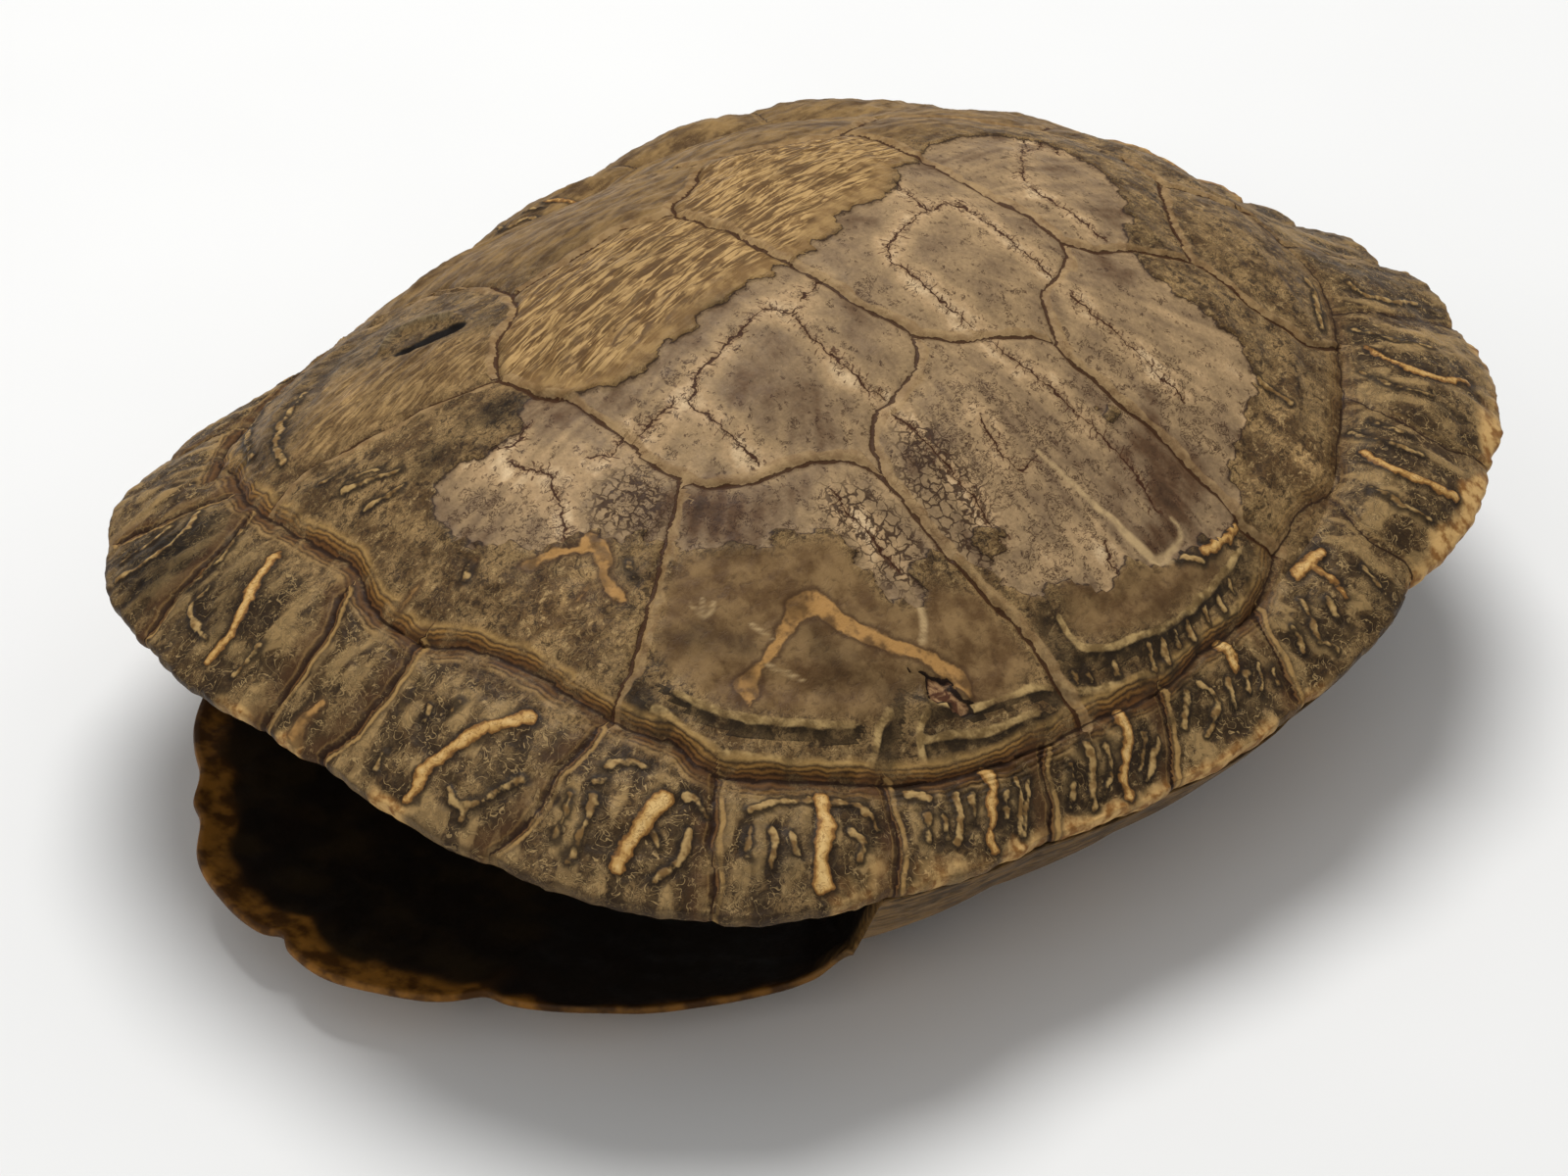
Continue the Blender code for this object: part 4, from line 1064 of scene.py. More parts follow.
def carapace_marginals(material):
    """The marginals as a ring from the dome's edge over the rim to the inside."""
    theta_grid, u_grid, faces, edge = disc_grid(DOME_GRID)
    around = theta_grid[edge]
    count = len(around)
    outer, fields = outer_surface(np.tile(around, RING_ROWS),
                                  np.repeat(np.linspace(1, 2, RING_ROWS), count))
    rim = outer[-count:]
    # the rim is chipped unevenly, and less on the right
    chips = 0.35 * noise(rim, 3.0, 2, 6.0) + 0.5 * np.minimum(noise(rim, 9.0, 1, 1.0), 0)
    chips *= 0.2 + 0.8 * step_up(np.degrees(around), -35.0, -20.0)
    wide = radial_way(around)
    rim += chips[:, None] * wide
    lip = rim_lip(around) + chips[:, None] * wide
    rows = [outer] + bulging(rim, lip, wide, RIM_BULGE)
    rows += [lip, lip - 0.5 * RIM_UNDERSIDE * wide, rim_underside(around)]
    edge_rows = len(rows) - 1
    for level in np.linspace(1.8, 1.0, INNER_ROWS):
        rows.append(inner_surface(around, np.full(count, level)))
    points = np.vstack(rows)
    total = len(points) // count
    index = np.arange(len(points)).reshape(total, count)
    right = np.roll(index, -1, axis=1)
    below, below_right = np.roll(index, -1, axis=0), np.roll(right, -1, axis=0)
    quads = np.stack([index, below, below_right, right], axis=-1).reshape(-1, 4)
    rim_fields = {key: np.tile(values[-count:], edge_rows) for key, values in fields.items()}
    rim_fields["rim_gap"] = np.zeros(count * edge_rows)
    parts = [(fields, 0), (rim_fields, 0), (blank_fields(count * INNER_ROWS), 1)]
    sharp = np.concatenate([index[0], index[-1]])
    return make_piece("carapace_marginals", points, quads, [], sharp,
                      joined_fields(parts), material)


# ---------------------------------------------------------------- the plastron
PLATE_GRID = 217


def lobe_tables(points):
    """Reach and height of a lobe's free edge at each angle, and the angles it runs between."""
    reach, height = by_landmarks(points)
    return reach, height, angle_of(*points[0][:2]), angle_of(*points[-1][:2])


def plastron_edge(theta):
    """Reach and height of the underside's and of the upper face's edge at each angle."""
    turn = np.abs(theta)
    front, front_z, front_from, front_to = lobe_tables(FRONT_LOBE)
    rear, rear_z, rear_from, rear_to = lobe_tables(REAR_LOBE)
    lip = rim_lip(theta)
    reach = np.hypot(lip[:, 0], lip[:, 1] - CENTRE_Y)
    low = np.stack([reach, lip[:, 2] - SUTURE_GAP], axis=-1)
    high = low - [RIM_UNDERSIDE, 0]
    bridge_from, bridge_to = RIM_ANGLES[BRIDGE_FROM], RIM_ANGLES[BRIDGE_TO]
    ends = [(front, front_z, front_to, bridge_from, turn < bridge_from),
            (rear, rear_z, rear_from, bridge_to, turn > bridge_to)]
    for lobe, lobe_z, lobe_end, bridge_end, here in ends:
        free = np.stack([lobe(turn), lobe_z(turn)], axis=-1)
        share = np.clip((turn - lobe_end) / (bridge_end - lobe_end), 0, 1)[:, None]
        for edge, lift in ((low, 0.0), (high, LOBE_EDGE)):
            joined = free + [0, lift] + (edge - free - [0, lift]) * share
            edge[here] = joined[here]
    return low, high


def plate_face(theta, share, edge, floor, flat_share):
    """Points of a face that is level in its middle and climbs to its edge."""
    climb = np.clip((share - flat_share) / (1 - flat_share), 0, 1) ** BRIDGE_CURVE
    reach = share * edge[:, 0]
    z = floor + (edge[:, 1] - floor) * climb
    return np.stack([reach * np.sin(theta), CENTRE_Y - reach * np.cos(theta), z], axis=-1)


def plastron(material):
    """The plastron's underside, its upper face and the bulging edge between them."""
    theta, share, faces, edge = disc_grid(PLATE_GRID)
    low, high = plastron_edge(theta)
    nicks = edge_nicks(theta)
    low[:, 0] += nicks
    high[:, 0] += nicks
    under = plate_face(theta, share, low, 0.0, PLATE_FLAT)
    upper = plate_face(theta, share, high, PLATE, PLATE_FLAT - PLATE_THICKENS)
    plan = under * [1, 1, 0]
    *seams, middle = [smooth_line([(x, y, 0) for x, y in seam], 2.0)
                      for seam in PLASTRON_SEAMS + [PLASTRON_MIDLINE]]
    seam = nearest(warped(plan, 0.5, 8.0), seams + mirrored(seams) + [middle], SEAM_REACH)
    inset = (1 - share) * low[:, 0]
    fade = step_up(inset, 0.5, 6.0)
    under[:, 2] += PLASTRON_GROOVE * bell(seam, 0.9) * fade
    swell = 0.25 * (1 + noise(plan, 20.0)) * step_up(share, 0.1, 0.5)
    under[:, 2] += (swell * (1 - step_up(share, 0.6, 0.95)) * fade).clip(0)
    upper[:, 2] += (0.5 * noise(plan, 16.0) + 0.15 * noise(plan, 4.0)) * fade
    strips = bulging(under[edge], upper[edge], radial_way(theta[edge]), PLATE_BULGE)
    points = np.vstack([under, upper] + strips)
    count, strip_count = len(under), len(edge) * len(strips)
    strip_rows = 2 * count + np.arange(strip_count).reshape(len(strips), -1)
    rows = np.vstack([edge, strip_rows, edge + count])
    right = np.roll(rows, -1, axis=1)
    sides = np.stack([rows[:-1], right[:-1], right[1:], rows[1:]], axis=-1).reshape(-1, 4)
    quads = np.vstack([faces[:, ::-1], faces + count, sides])
    degrees = np.degrees(theta)
    bridge = step_up(np.abs(degrees), 42, 52) * (1 - step_up(np.abs(degrees), 118, 130))
    # how far in from the edge the amber shows before the painted shade of the plate's inside takes
    # over, in millimetres
    amber_reach = np.where(np.abs(degrees) > 90, 3.5, 6.0 - 5.4 * step_up(degrees, 15.0, 19.0))
    fields = {key: np.concatenate([values, values, np.tile(values[edge], len(strips))])
              for key, values in (("amber_reach", amber_reach), ("bridge", bridge))}
    for key, below, above, beside in (("seam", seam, SEAM_REACH, SEAM_REACH),
                                      ("inset", inset, inset, 0.0), ("upper", 0.0, 1.0, 0.5)):
        fields[key] = np.concatenate([np.broadcast_to(below, count),
                                      np.broadcast_to(above, count),
                                      np.full(strip_count, beside)])
    return make_piece("plastron_plate", points, quads, [], None, fields, material)


def edge_nicks(theta):
    """Small notches and swellings of the plastron's edge, by the angle from the head."""
    degrees = np.degrees(theta)
    shape = 0.16 * noise(np.stack([degrees / 6, degrees * 0, degrees * 0], axis=-1), 1.0, 2)
    for at, width, amount in EDGE_NICKS:
        shape += amount * np.exp(-((degrees - at) / width) ** 2)
    return shape


# Middle and width in degrees from the head (positive to the left) and millimetres outward.
EDGE_NICKS = [(-0.7, 1.0, -1.8), (17.0, 1.5, -1.6), (-19.5, 1.8, 1.2), (-12.0, 9.0, 1.9),
              (-33.0, 8.0, 0.9), (-23.5, 2.0, -0.7), (5.0, 5.0, 1.4), (22.0, 5.0, 0.6)]


# ---------------------------------------------------------------- materials
class Net:
    """Node tree of one material, with short names for the nodes it uses."""

    def __init__(self, name):
        self.material = bpy.data.materials.new(name)
        self.material.use_nodes = True
        self.nodes = self.material.node_tree.nodes
        self.links = self.material.node_tree.links
        self.shader = self.nodes["Principled BSDF"]
        place = self.nodes.new("ShaderNodeTexCoord")
        scale = self.nodes.new("ShaderNodeVectorMath")
        scale.operation = 'SCALE'
        scale.inputs["Scale"].default_value = 1 / MM
        self.links.new(place.outputs["Object"], scale.inputs[0])
        self.place = scale.outputs[0]

    def put(self, socket, value):
        """Link an output to an input, or set the input to a number or a colour."""
        if isinstance(value, bpy.types.NodeSocket):
            self.links.new(value, socket)
        elif isinstance(value, tuple) and len(value) == 3 and socket.type == 'RGBA':
            socket.default_value = (*value, 1)
        else:
            socket.default_value = value

    def attribute(self, name):
        node = self.nodes.new("ShaderNodeAttribute")
        node.attribute_name = name
        return node.outputs["Fac"]

    def math(self, operation, a, b=0.0):
        node = self.nodes.new("ShaderNodeMath")
        node.operation = operation
        for socket, value in zip(node.inputs, (a, b)):
            self.put(socket, value)
        return node.outputs[0]

    def waves(self, value, period):
        """Waves between -1 and 1 along a value."""
        return self.math('SINE', self.math('MULTIPLY', value, 2 * pi / period))

    def map(self, value, low, high, to_low=0.0, to_high=1.0, smooth=True):
        """Share that runs from one end to the other while the value goes from low to high."""
        node = self.nodes.new("ShaderNodeMapRange")
        node.interpolation_type = 'SMOOTHSTEP' if smooth else 'LINEAR'
        for socket, item in zip(node.inputs, (value, low, high, to_low, to_high)):
            self.put(socket, item)
        return node.outputs[0]

    def mix(self, share, a, b):
        node = self.nodes.new("ShaderNodeMix")
        node.data_type = 'RGBA'
        for key, value in (("Factor_Float", share), ("A_Color", a), ("B_Color", b)):
            socket = next(s for s in node.inputs if s.identifier == key)
            self.put(socket, value)
        return next(s for s in node.outputs if s.identifier == "Result_Color")

    def stretched(self, x, y, z):
        """Place divided by a length along each axis."""
        node = self.nodes.new("ShaderNodeVectorMath")
        node.operation = 'DIVIDE'
        node.inputs[1].default_value = (x, y, z)
        self.links.new(self.place, node.inputs[0])
        return node.outputs[0]

    def noise(self, size, detail=3.0, rough=0.55, distort=0.0, place=None):
        """Noise about 0.5 with features of a size in millimetres."""
        node = self.nodes.new("ShaderNodeTexNoise")
        self.links.new(place or self.place, node.inputs["Vector"])
        for key, value in (("Scale", 1 / size), ("Detail", detail), ("Roughness", rough),
                           ("Distortion", distort)):
            node.inputs[key].default_value = value
        return node.outputs["Fac"]

    def sway(self, size, amount, detail=1.0):
        """Noise to either side of 0, for lines that wander."""
        return self.math('MULTIPLY', self.math('SUBTRACT', self.noise(size, detail), 0.5), amount)

    def moved(self, size, amount):
        """Place moved about by noise, for shapes that wander."""
        node = self.nodes.new("ShaderNodeTexNoise")
        self.links.new(self.place, node.inputs["Vector"])
        node.inputs["Scale"].default_value = 1 / size
        node.inputs["Detail"].default_value = 1.0
        push = self.nodes.new("ShaderNodeVectorMath")
        push.operation = 'MULTIPLY_ADD'
        self.links.new(node.outputs["Color"], push.inputs[0])
        push.inputs[1].default_value = (amount,) * 3
        self.links.new(self.place, push.inputs[2])
        return push.outputs[0]

    def cells(self, size, place):
        """Distance from the walls of small cells."""
        node = self.nodes.new("ShaderNodeTexVoronoi")
        node.feature = 'DISTANCE_TO_EDGE'
        self.links.new(place, node.inputs["Vector"])
        node.inputs["Scale"].default_value = 1 / size
        return node.outputs["Distance"]

    def folded(self, operation, values):
        """One operation over several values, one after another."""
        result = values[0]
        for value in values[1:]:
            result = self.math(operation, result, value)
        return result

    def product(self, *shares):
        return self.folded('MULTIPLY', shares)

    def total(self, *values):
        return self.folded('ADD', values)

    def fade(self, value, low, high, strength=1.0):
        """Share that falls from strength to 0 between low and high."""
        return self.map(value, low, high, strength, 0.0)

    def cloud(self, size, detail, low, high, to_low=0.0, to_high=1.0):
        """Share that soft clouds of noise give to each place."""
        return self.map(self.noise(size, detail), low, high, to_low, to_high)

    def over(self, base, colour, *shares):
        """Colour laid over another by the product of several shares."""
        return self.mix(self.product(*shares), base, colour)

    def vein(self, value, width):
        """Thin lines where noise crosses its middle."""
        return self.fade(self.math('ABSOLUTE', self.math('SUBTRACT', value, 0.5)), 0.0, width)

    def stroke(self, across, away, half):
        """Thin line where a signed distance passes through 0, with its half width."""
        gap = self.math('SUBTRACT', self.math('ABSOLUTE', across), half)
        return self.product(self.fade(gap, 0.0, 0.14), self.fade(away, 0.7, 1.0))

    def ramp(self, value, stops):
        """Colour and strength along a scale, from stops of place, colour and strength."""
        low, high = stops[0][0], stops[-1][0]
        node = self.nodes.new("ShaderNodeValToRGB")
        elements = node.color_ramp.elements
        for element, (at, colour, strength) in zip(elements, (stops[0], stops[-1])):
            element.color = (*colour, strength)
        for at, colour, strength in stops[1:-1]:
            elements.new((at - low) / (high - low)).color = (*colour, strength)
        self.put(node.inputs["Fac"], self.map(value, low, high, smooth=False))
        return node.outputs["Color"], node.outputs["Alpha"]

    def dimmed(self, colour, factor):
        """Colour made darker, or lighter by a factor above 1."""
        node = self.nodes.new("ShaderNodeVectorMath")
        node.operation = 'SCALE'
        self.put(node.inputs[0], colour)
        self.put(node.inputs["Scale"], factor)
        return node.outputs[0]

    def bump(self, height, distance, strength, normal=None):
        """Normal for a height from 0 to 1 that stands for a distance in millimetres."""
        node = self.nodes.new("ShaderNodeBump")
        node.inputs["Strength"].default_value = strength
        node.inputs["Distance"].default_value = distance * MM
        self.put(node.inputs["Height"], height)
        if normal is not None:
            self.links.new(normal, node.inputs["Normal"])
        return node.outputs["Normal"]

    def shown(self, colour, roughness, normal, **constants):
        """The finished material; constants are further inputs of its shader."""
        self.put(self.shader.inputs["Base Color"], colour)
        self.put(self.shader.inputs["Roughness"], roughness)
        self.put(self.shader.inputs["Normal"], normal)
        for key, value in constants.items():
            self.shader.inputs[key.replace("_", " ")].default_value = value
        return self.material


def paint(*srgb):
    """Linear colour from 0 to 255 values as seen on a screen."""
    return tuple((((v / 255) + 0.055) / 1.055) ** 2.4 for v in srgb)


BLACK_BROWN = paint(44, 27, 15)
DARK_BROWN = paint(66, 43, 24)

# Growth lines beside the marginals' inner seam: millimetres inward, colour and strength.
MARGIN_STOPS = [
    (-3.6, paint(150, 118, 72), 0.0), (-2.8, paint(154, 122, 76), 0.75),
    (-2.4, paint(60, 42, 24), 0.8), (-2.0, paint(130, 96, 54), 0.85),
    (-1.6, paint(54, 35, 20), 0.9), (-1.0, paint(96, 64, 32), 0.9), (-0.3, BLACK_BROWN, 1.0),
    (0.2, BLACK_BROWN, 1.0), (0.6, paint(104, 68, 34), 0.95), (1.0, paint(52, 33, 18), 0.95),
    (1.4, paint(132, 92, 44), 0.9), (1.75, paint(56, 37, 20), 0.9),
    (2.2, paint(156, 116, 60), 0.9), (2.6, paint(66, 46, 26), 0.85),
    (3.2, paint(172, 136, 80), 0.7), (4.6, paint(150, 116, 70), 0.0),
]
# The same across the seams between the marginals, from the seam's front side to its rear.
MARGINAL_STOPS = [
    (-4.8, paint(86, 60, 36), 0.0), (-3.0, paint(80, 54, 31), 0.55), (-1.5, paint(76, 50, 28), 0.7),
    (-1.2, paint(120, 90, 52), 0.7), (-0.9, paint(58, 38, 21), 0.8), (-0.3, BLACK_BROWN, 1.0),
    (0.2, BLACK_BROWN, 1.0), (0.5, paint(112, 76, 40), 0.85), (0.8, paint(56, 38, 22), 0.75),
    (1.15, paint(164, 130, 78), 0.9), (1.6, paint(158, 124, 74), 0.8), (1.9, paint(54, 39, 24), 0.7),
    (2.8, paint(64, 47, 29), 0.0),
]
# Painted shade across a growth ridge: dark in the hollow outside it, fading out before its pale
# crest.
RIDGE_SHADE_STOPS = [
    (-5.5, paint(60, 47, 30), 0.0), (-3.6, paint(52, 40, 25), 0.7), (-0.9, paint(36, 27, 16), 0.95),
    (-0.4, paint(60, 47, 30), 0.0),
]
# Bare bone, from its dark patches to its pale ones.
BONE_STOPS = [(-1.4, paint(50, 36, 24), 1.0), (-0.7, paint(88, 64, 43), 1.0),
              (-0.1, paint(127, 104, 77), 1.0), (0.4, paint(150, 124, 90), 1.0),
              (0.9, paint(171, 141, 103), 1.0), (1.6, paint(206, 178, 138), 1.0)]
TICK_PERIOD, PLATE_RINGS = 1.5, 2.1     # millimetres from one tick or growth ring to the next


def horn_look(n, f, curls):
    """Horny scutes: olive brown with black marks, pale flecks and pale worm-like lines."""
    clouds = n.total(n.noise(7.0, 4.0, 0.6), n.product(f["rays"], 0.05))
    horn = n.mix(n.map(clouds, 0.36, 0.62), paint(86, 64, 38), paint(146, 117, 76))
    horn = n.dimmed(horn, n.map(f["outer"], 0.0, 1.0, 1.0, 0.80))
    grain = n.noise(1.4, 3.0, 0.65, 0.6, n.stretched(0.9, 1.4, 1.1))
    patchy = n.cloud(6.0, 2.0, 0.38, 0.56, 0.45, 1.0)
    horn = n.over(horn, paint(48, 35, 22), n.map(grain, 0.52, 0.60), patchy, 0.8)
    horn = n.over(horn, paint(178, 148, 100), n.fade(grain, 0.34, 0.43, 0.55))
    horn = n.over(horn, paint(42, 30, 19), n.vein(curls, 0.05), 0.75)
    rayed = n.product(f["outer"], n.cloud(5.0, 2.0, 0.36, 0.56, 0.5, 1.0))
    horn = n.over(horn, paint(46, 34, 21), n.map(f["rays"], -0.05, -0.45), rayed, 0.75)
    horn = n.over(horn, paint(162, 132, 86), n.map(f["rays"], 0.25, 0.60), rayed, 0.65)
    worms = n.noise(2.6, 2.0, 0.55, 0.9)
    outer = n.map(f["outer"], 0.0, 1.0, 0.4, 1.0)
    horn = n.over(horn, paint(44, 32, 20), n.vein(worms, 0.06), 0.65, outer)
    horn = n.over(horn, paint(174, 144, 96), n.vein(worms, 0.022), 0.75, outer)
    rubbed = n.mix(n.map(n.noise(6.0, 4.0, 0.6), 0.36, 0.64), paint(92, 67, 40),
                   paint(134, 106, 69))
    rubbed = n.over(rubbed, paint(62, 45, 29), n.map(grain, 0.56, 0.68, 0.0, 0.35))
    horn = n.over(horn, rubbed, f["rubbed"], 0.9)
    golden = n.mix(n.map(n.noise(2.5, 4.0, 0.6, 0.3, n.stretched(1.2, 3.5, 2.0)), 0.36, 0.64),
                   paint(84, 60, 32), paint(142, 112, 68))
    horn = n.over(horn, golden, f["golden"], 0.75)

    # gold horn: wrinkles running fore and aft, with a painted highlight on their crests and painted
    # shade in the troughs
    streaks = n.noise(1.0, 2.0, 0.5, 1.1, n.stretched(0.95, 7.5, 3.0))
    strip = n.map(f["bone"], -6.0, -2.5, 1.0, 0.12)
    wrinkled = n.mix(n.cloud(4.0, 3.0, 0.38, 0.62), paint(122, 92, 54), paint(156, 124, 78))
    wrinkled = n.over(wrinkled, paint(80, 56, 31), n.map(streaks, 0.49, 0.43), strip, 0.75)
    wrinkled = n.over(wrinkled, paint(192, 156, 102), n.map(streaks, 0.54, 0.60), strip, 0.8)
    horn = n.over(horn, wrinkled, f["gold"], 0.95)
    # darker and lighter patches: mostly the horn's own colour, some of them painted highlight and
    # painted shade
    return n.dimmed(horn, n.map(f["tone_and_painted_light"], -1.0, 1.0, 0.35, 1.65, False)), grain, streaks


def growth_look(n, f, horn):
    """Brown and ochre lines beside the seams of the marginals, and growth ridges with painted shade
    in the hollow outside them and pale crests, partly painted highlight.
    """
    sway = n.sway(2.0, 0.9, 2.0)
    # painted shade in the hollow outside each growth ridge
    colour, share = n.ramp(n.total(f["ridge_across"], sway), RIDGE_SHADE_STOPS)
    patchy = n.cloud(4.0, 3.0, 0.38, 0.54, 0.5, 1.0)
    horn = n.over(horn, colour, share, n.fade(f["ridge"], 5.0, 6.5), patchy)
    # pale crest: the ridge's olive horn with a painted highlight on it
    crest = n.mix(n.cloud(2.5, 3.0, 0.38, 0.64), paint(116, 92, 55), paint(182, 152, 100))
    horn = n.over(horn, crest, n.fade(n.total(f["ridge"], sway), 0.5, 0.95), patchy, 0.9)
    fading = n.cloud(5.0, 3.0, 0.36, 0.56, 0.25, 1.0)
    margin_sway = n.total(n.sway(6.0, 1.5), n.sway(1.4, 0.8, 2.0))
    marginal_sway = n.total(n.sway(4.0, 0.7), n.sway(1.2, 0.4))
    for key, sway, stops, near in (("margin", margin_sway, MARGIN_STOPS, (4.5, 6.5)),
                                   ("marginal", marginal_sway, MARGINAL_STOPS, (4.0, 5.5))):
        colour, share = n.ramp(n.total(f[key + "_across"], sway), stops)
        horn = n.over(horn, colour, share, fading, n.fade(f[key + "_seam"], *near), f["crisp"])
    return horn


def bar_look(n, f, horn):
    """Yellow marks with orange-brown edges and dark borders, and the duller flat ones."""
    flat = n.total(f["faint"], n.total(n.sway(3.0, 1.6, 2.0), n.sway(0.9, 0.5)))
    horn = n.over(horn, paint(68, 46, 27), n.fade(flat, 0.2, 1.2), 0.7)
    dull = n.mix(n.cloud(6.0, 3.0, 0.38, 0.60), paint(120, 89, 51), paint(176, 132, 76))
    broken = n.cloud(3.0, 3.0, 0.36, 0.52, 0.4, 0.9)
    horn = n.over(horn, dull, n.fade(flat, -0.3, 0.2), broken)

    wander = n.total(n.sway(2.6, 1.3), n.sway(1.0, 0.8))
    spread = n.cloud(4.0, 2.0, 0.35, 0.6, 0.8, 2.3)
    gap = n.total(f["dull"], wander)
    horn = n.over(horn, paint(38, 28, 18), n.fade(gap, 0.1, spread), 0.9)
    dull = n.mix(n.cloud(2.2, 2.0, 0.38, 0.62), paint(122, 92, 52), paint(178, 146, 94))
    horn = n.over(horn, dull, n.fade(gap, -0.30, 0.20, 0.92))
    gap = n.total(f["bar"], wander)
    horn = n.over(horn, paint(38, 27, 17), n.fade(gap, 0.1, spread), 0.92)
    horn = n.over(horn, paint(132, 92, 46), n.fade(gap, 0.0, 0.35, 0.9))
    middle = n.mix(n.map(gap, -1.2, -0.2), paint(216, 180, 118), paint(184, 142, 80))
    middle = n.over(middle, paint(136, 98, 54), n.vein(n.noise(2.0, 3.0, 0.6, 0.8), 0.035), 0.7)
    return n.over(horn, middle, n.fade(gap, -0.35, -0.05, 0.95))


def rim_look(n, f, horn):
    """Rim rubbed to orange, tan and cream in places, and dark elsewhere."""
    gap = n.total(f["rim_gap"], n.sway(4.0, 3.4, 3.0))
    reach = n.map(f["worn"], 0.1, 2.1, -0.9, 7.6, False)
    share = n.fade(n.math('SUBTRACT', gap, reach), -2.2, 0.9, 0.9)
    pale = n.mix(n.cloud(2.5, 3.0, 0.36, 0.60), paint(136, 92, 45), paint(204, 164, 104))
    horn = n.over(horn, pale, share, n.map(f["worn"], 0.1, 0.6))
    return n.over(horn, paint(56, 42, 30), n.fade(gap, 0.0, 1.2, 0.55),
                  n.fade(f["worn"], 0.1, 0.6))


def bone_look(n, f, curls):
    """Bare bone: greyish tan clouds, fine dark hairs, crackle and cracks."""
    halo = n.product(n.fade(f["crack"], 0.5, 5.8, 0.9), n.cloud(9.0, 2.0, 0.36, 0.58, 0.35, 1.0))
    # the patches: mostly the bone's own colour, some of them painted highlight and painted shade
    clouds = n.total(f["tone_and_painted_light"], n.map(n.noise(7.0, 4.0, 0.6), 0.3, 0.7, -0.15, 0.65, False),
                     halo, n.product(f["rays"], 0.28))
    bare = n.ramp(clouds, BONE_STOPS)[0]
    bare = n.dimmed(bare, n.map(n.noise(0.9, 4.0, 0.7), 0.3, 0.7, 0.80, 1.2, False))
    broken = n.map(n.total(n.noise(2.2, 2.0), n.product(f["hairy"], 0.22)), 0.58, 0.63)
    by_cracks = n.product(n.fade(f["crack"], 0.8, 2.0), n.cloud(2.2, 3.0, 0.44, 0.50))
    bare = n.over(bare, paint(58, 38, 25), n.vein(curls, 0.06),
                  n.math('MAXIMUM', broken, by_cracks), 0.95)
    bare = n.over(bare, paint(88, 64, 44), n.map(n.noise(1.1, 2.0, 0.6, 0.5), 0.63, 0.70), 0.5)
    walls = n.total(n.cells(2.1, n.moved(1.6, 2.0)), n.sway(2.0, 0.4, 2.0))
    crackle = n.product(n.fade(walls, 0.02, 0.11), f["crackle"])
    bare = n.over(bare, paint(56, 37, 24), crackle, 0.9)
    bare = n.over(bare, paint(106, 72, 46), n.fade(f["crack"], 0.2, 1.0, 0.3))
    crack = n.stroke(n.total(f["crack_across"], n.sway(1.3, 1.3, 2.0)), f["crack"],
                     n.cloud(3.0, 3.0, 0.35, 0.65, 0.02, 0.22))
    # short dark ticks across the cracks
    slanted = n.total(f["crack_run"], n.total(n.product(f["crack_across"], 0.45),
                                              n.sway(2.5, 1.4, 2.0)))
    ticks = n.map(n.waves(slanted, TICK_PERIOD), 0.70, 0.93)
    length = n.cloud(1.5, 2.0, 0.38, 0.66, 0.1, 2.8)
    bare = n.over(bare, paint(72, 44, 27), ticks,
                  n.fade(n.math('SUBTRACT', f["crack"], length), -0.7, 0.0), 0.8)
    return n.over(bare, paint(60, 33, 18), crack, 0.95), crackle, crack


def seam_look(n, f, surface):
    """Seams of the dome, thin and dark with a tan band on their left, and the marginals' seams."""
    across = n.total(f["dome_across"], n.sway(1.8, 0.5, 2.0))
    wide = n.cloud(7.0, 2.0, 0.36, 0.60, 1.4, 2.6)
    tan = n.mix(n.cloud(2.5, 3.0, 0.38, 0.62), paint(132, 102, 66), paint(164, 134, 92))
    surface = n.over(surface, tan, n.map(across, 0.15, 0.40),
                     n.fade(n.math('SUBTRACT', across, wide), -0.4, 0.1),
                     n.fade(f["dome_seam"], 2.8, 3.2), 0.6)
    seam = n.stroke(across, f["dome_seam"], n.cloud(3.5, 3.0, 0.35, 0.65, 0.08, 0.42))
    surface = n.over(surface, paint(62, 36, 18), seam, 0.92)
    surface = n.over(surface, DARK_BROWN, n.map(across, -1.0, -0.2, 0.0, 0.45),
                     n.fade(across, -0.2, 0.1))
    for key, sway, half, share in (("marginal", 0.5, 0.16, 0.9), ("margin", 0.6, 0.18, 0.85)):
        line = n.stroke(n.total(f[key + "_across"], n.sway(1.8, sway, 2.0)), f[key + "_seam"],
                        half)
        surface = n.over(surface, BLACK_BROWN, line, share)
    return surface, seam


def damage_look(n, f, surface):
    """Pale scars, the torn slit painted nearly black as shade with the horn lifted over it, and the
    chip with a painted shadow inside its edge.
    """
    scar = n.total(f["scar"], n.sway(1.5, 0.4, 2.0))
    surface = n.over(surface, paint(190, 161, 116), n.fade(scar, -0.4, 0.6, 0.85),
                     n.cloud(4.0, 2.0, 0.36, 0.52, 0.6, 1.0))
    lifted = n.mix(n.cloud(1.2, 2.0, 0.4, 0.6), paint(80, 66, 45), paint(124, 106, 76))
    surface = n.over(surface, lifted, n.fade(f["lip"], 0.5, 1.7), 0.8)
    # painted shade: the slit's inside, nearly black
    surface = n.over(surface, paint(18, 12, 8), n.fade(f["slit"], 0.8, 1.6))
    flake = n.total(f["chip"], n.sway(1.6, 1.2, 2.0))
    # painted shadow: dark along the inside of the chip's edge, under the flake standing over the
    # bone
    surface = n.over(surface, paint(30, 18, 12), n.map(flake, -0.3, 0.1, 0.0, 0.95))
    below = n.mix(n.map(n.noise(2.0, 3.0, 0.6, 0.8), 0.38, 0.62), paint(82, 50, 32),
                  paint(166, 128, 88))
    return n.over(surface, below, n.map(flake, 0.7, 1.3, 0.0, 0.85))


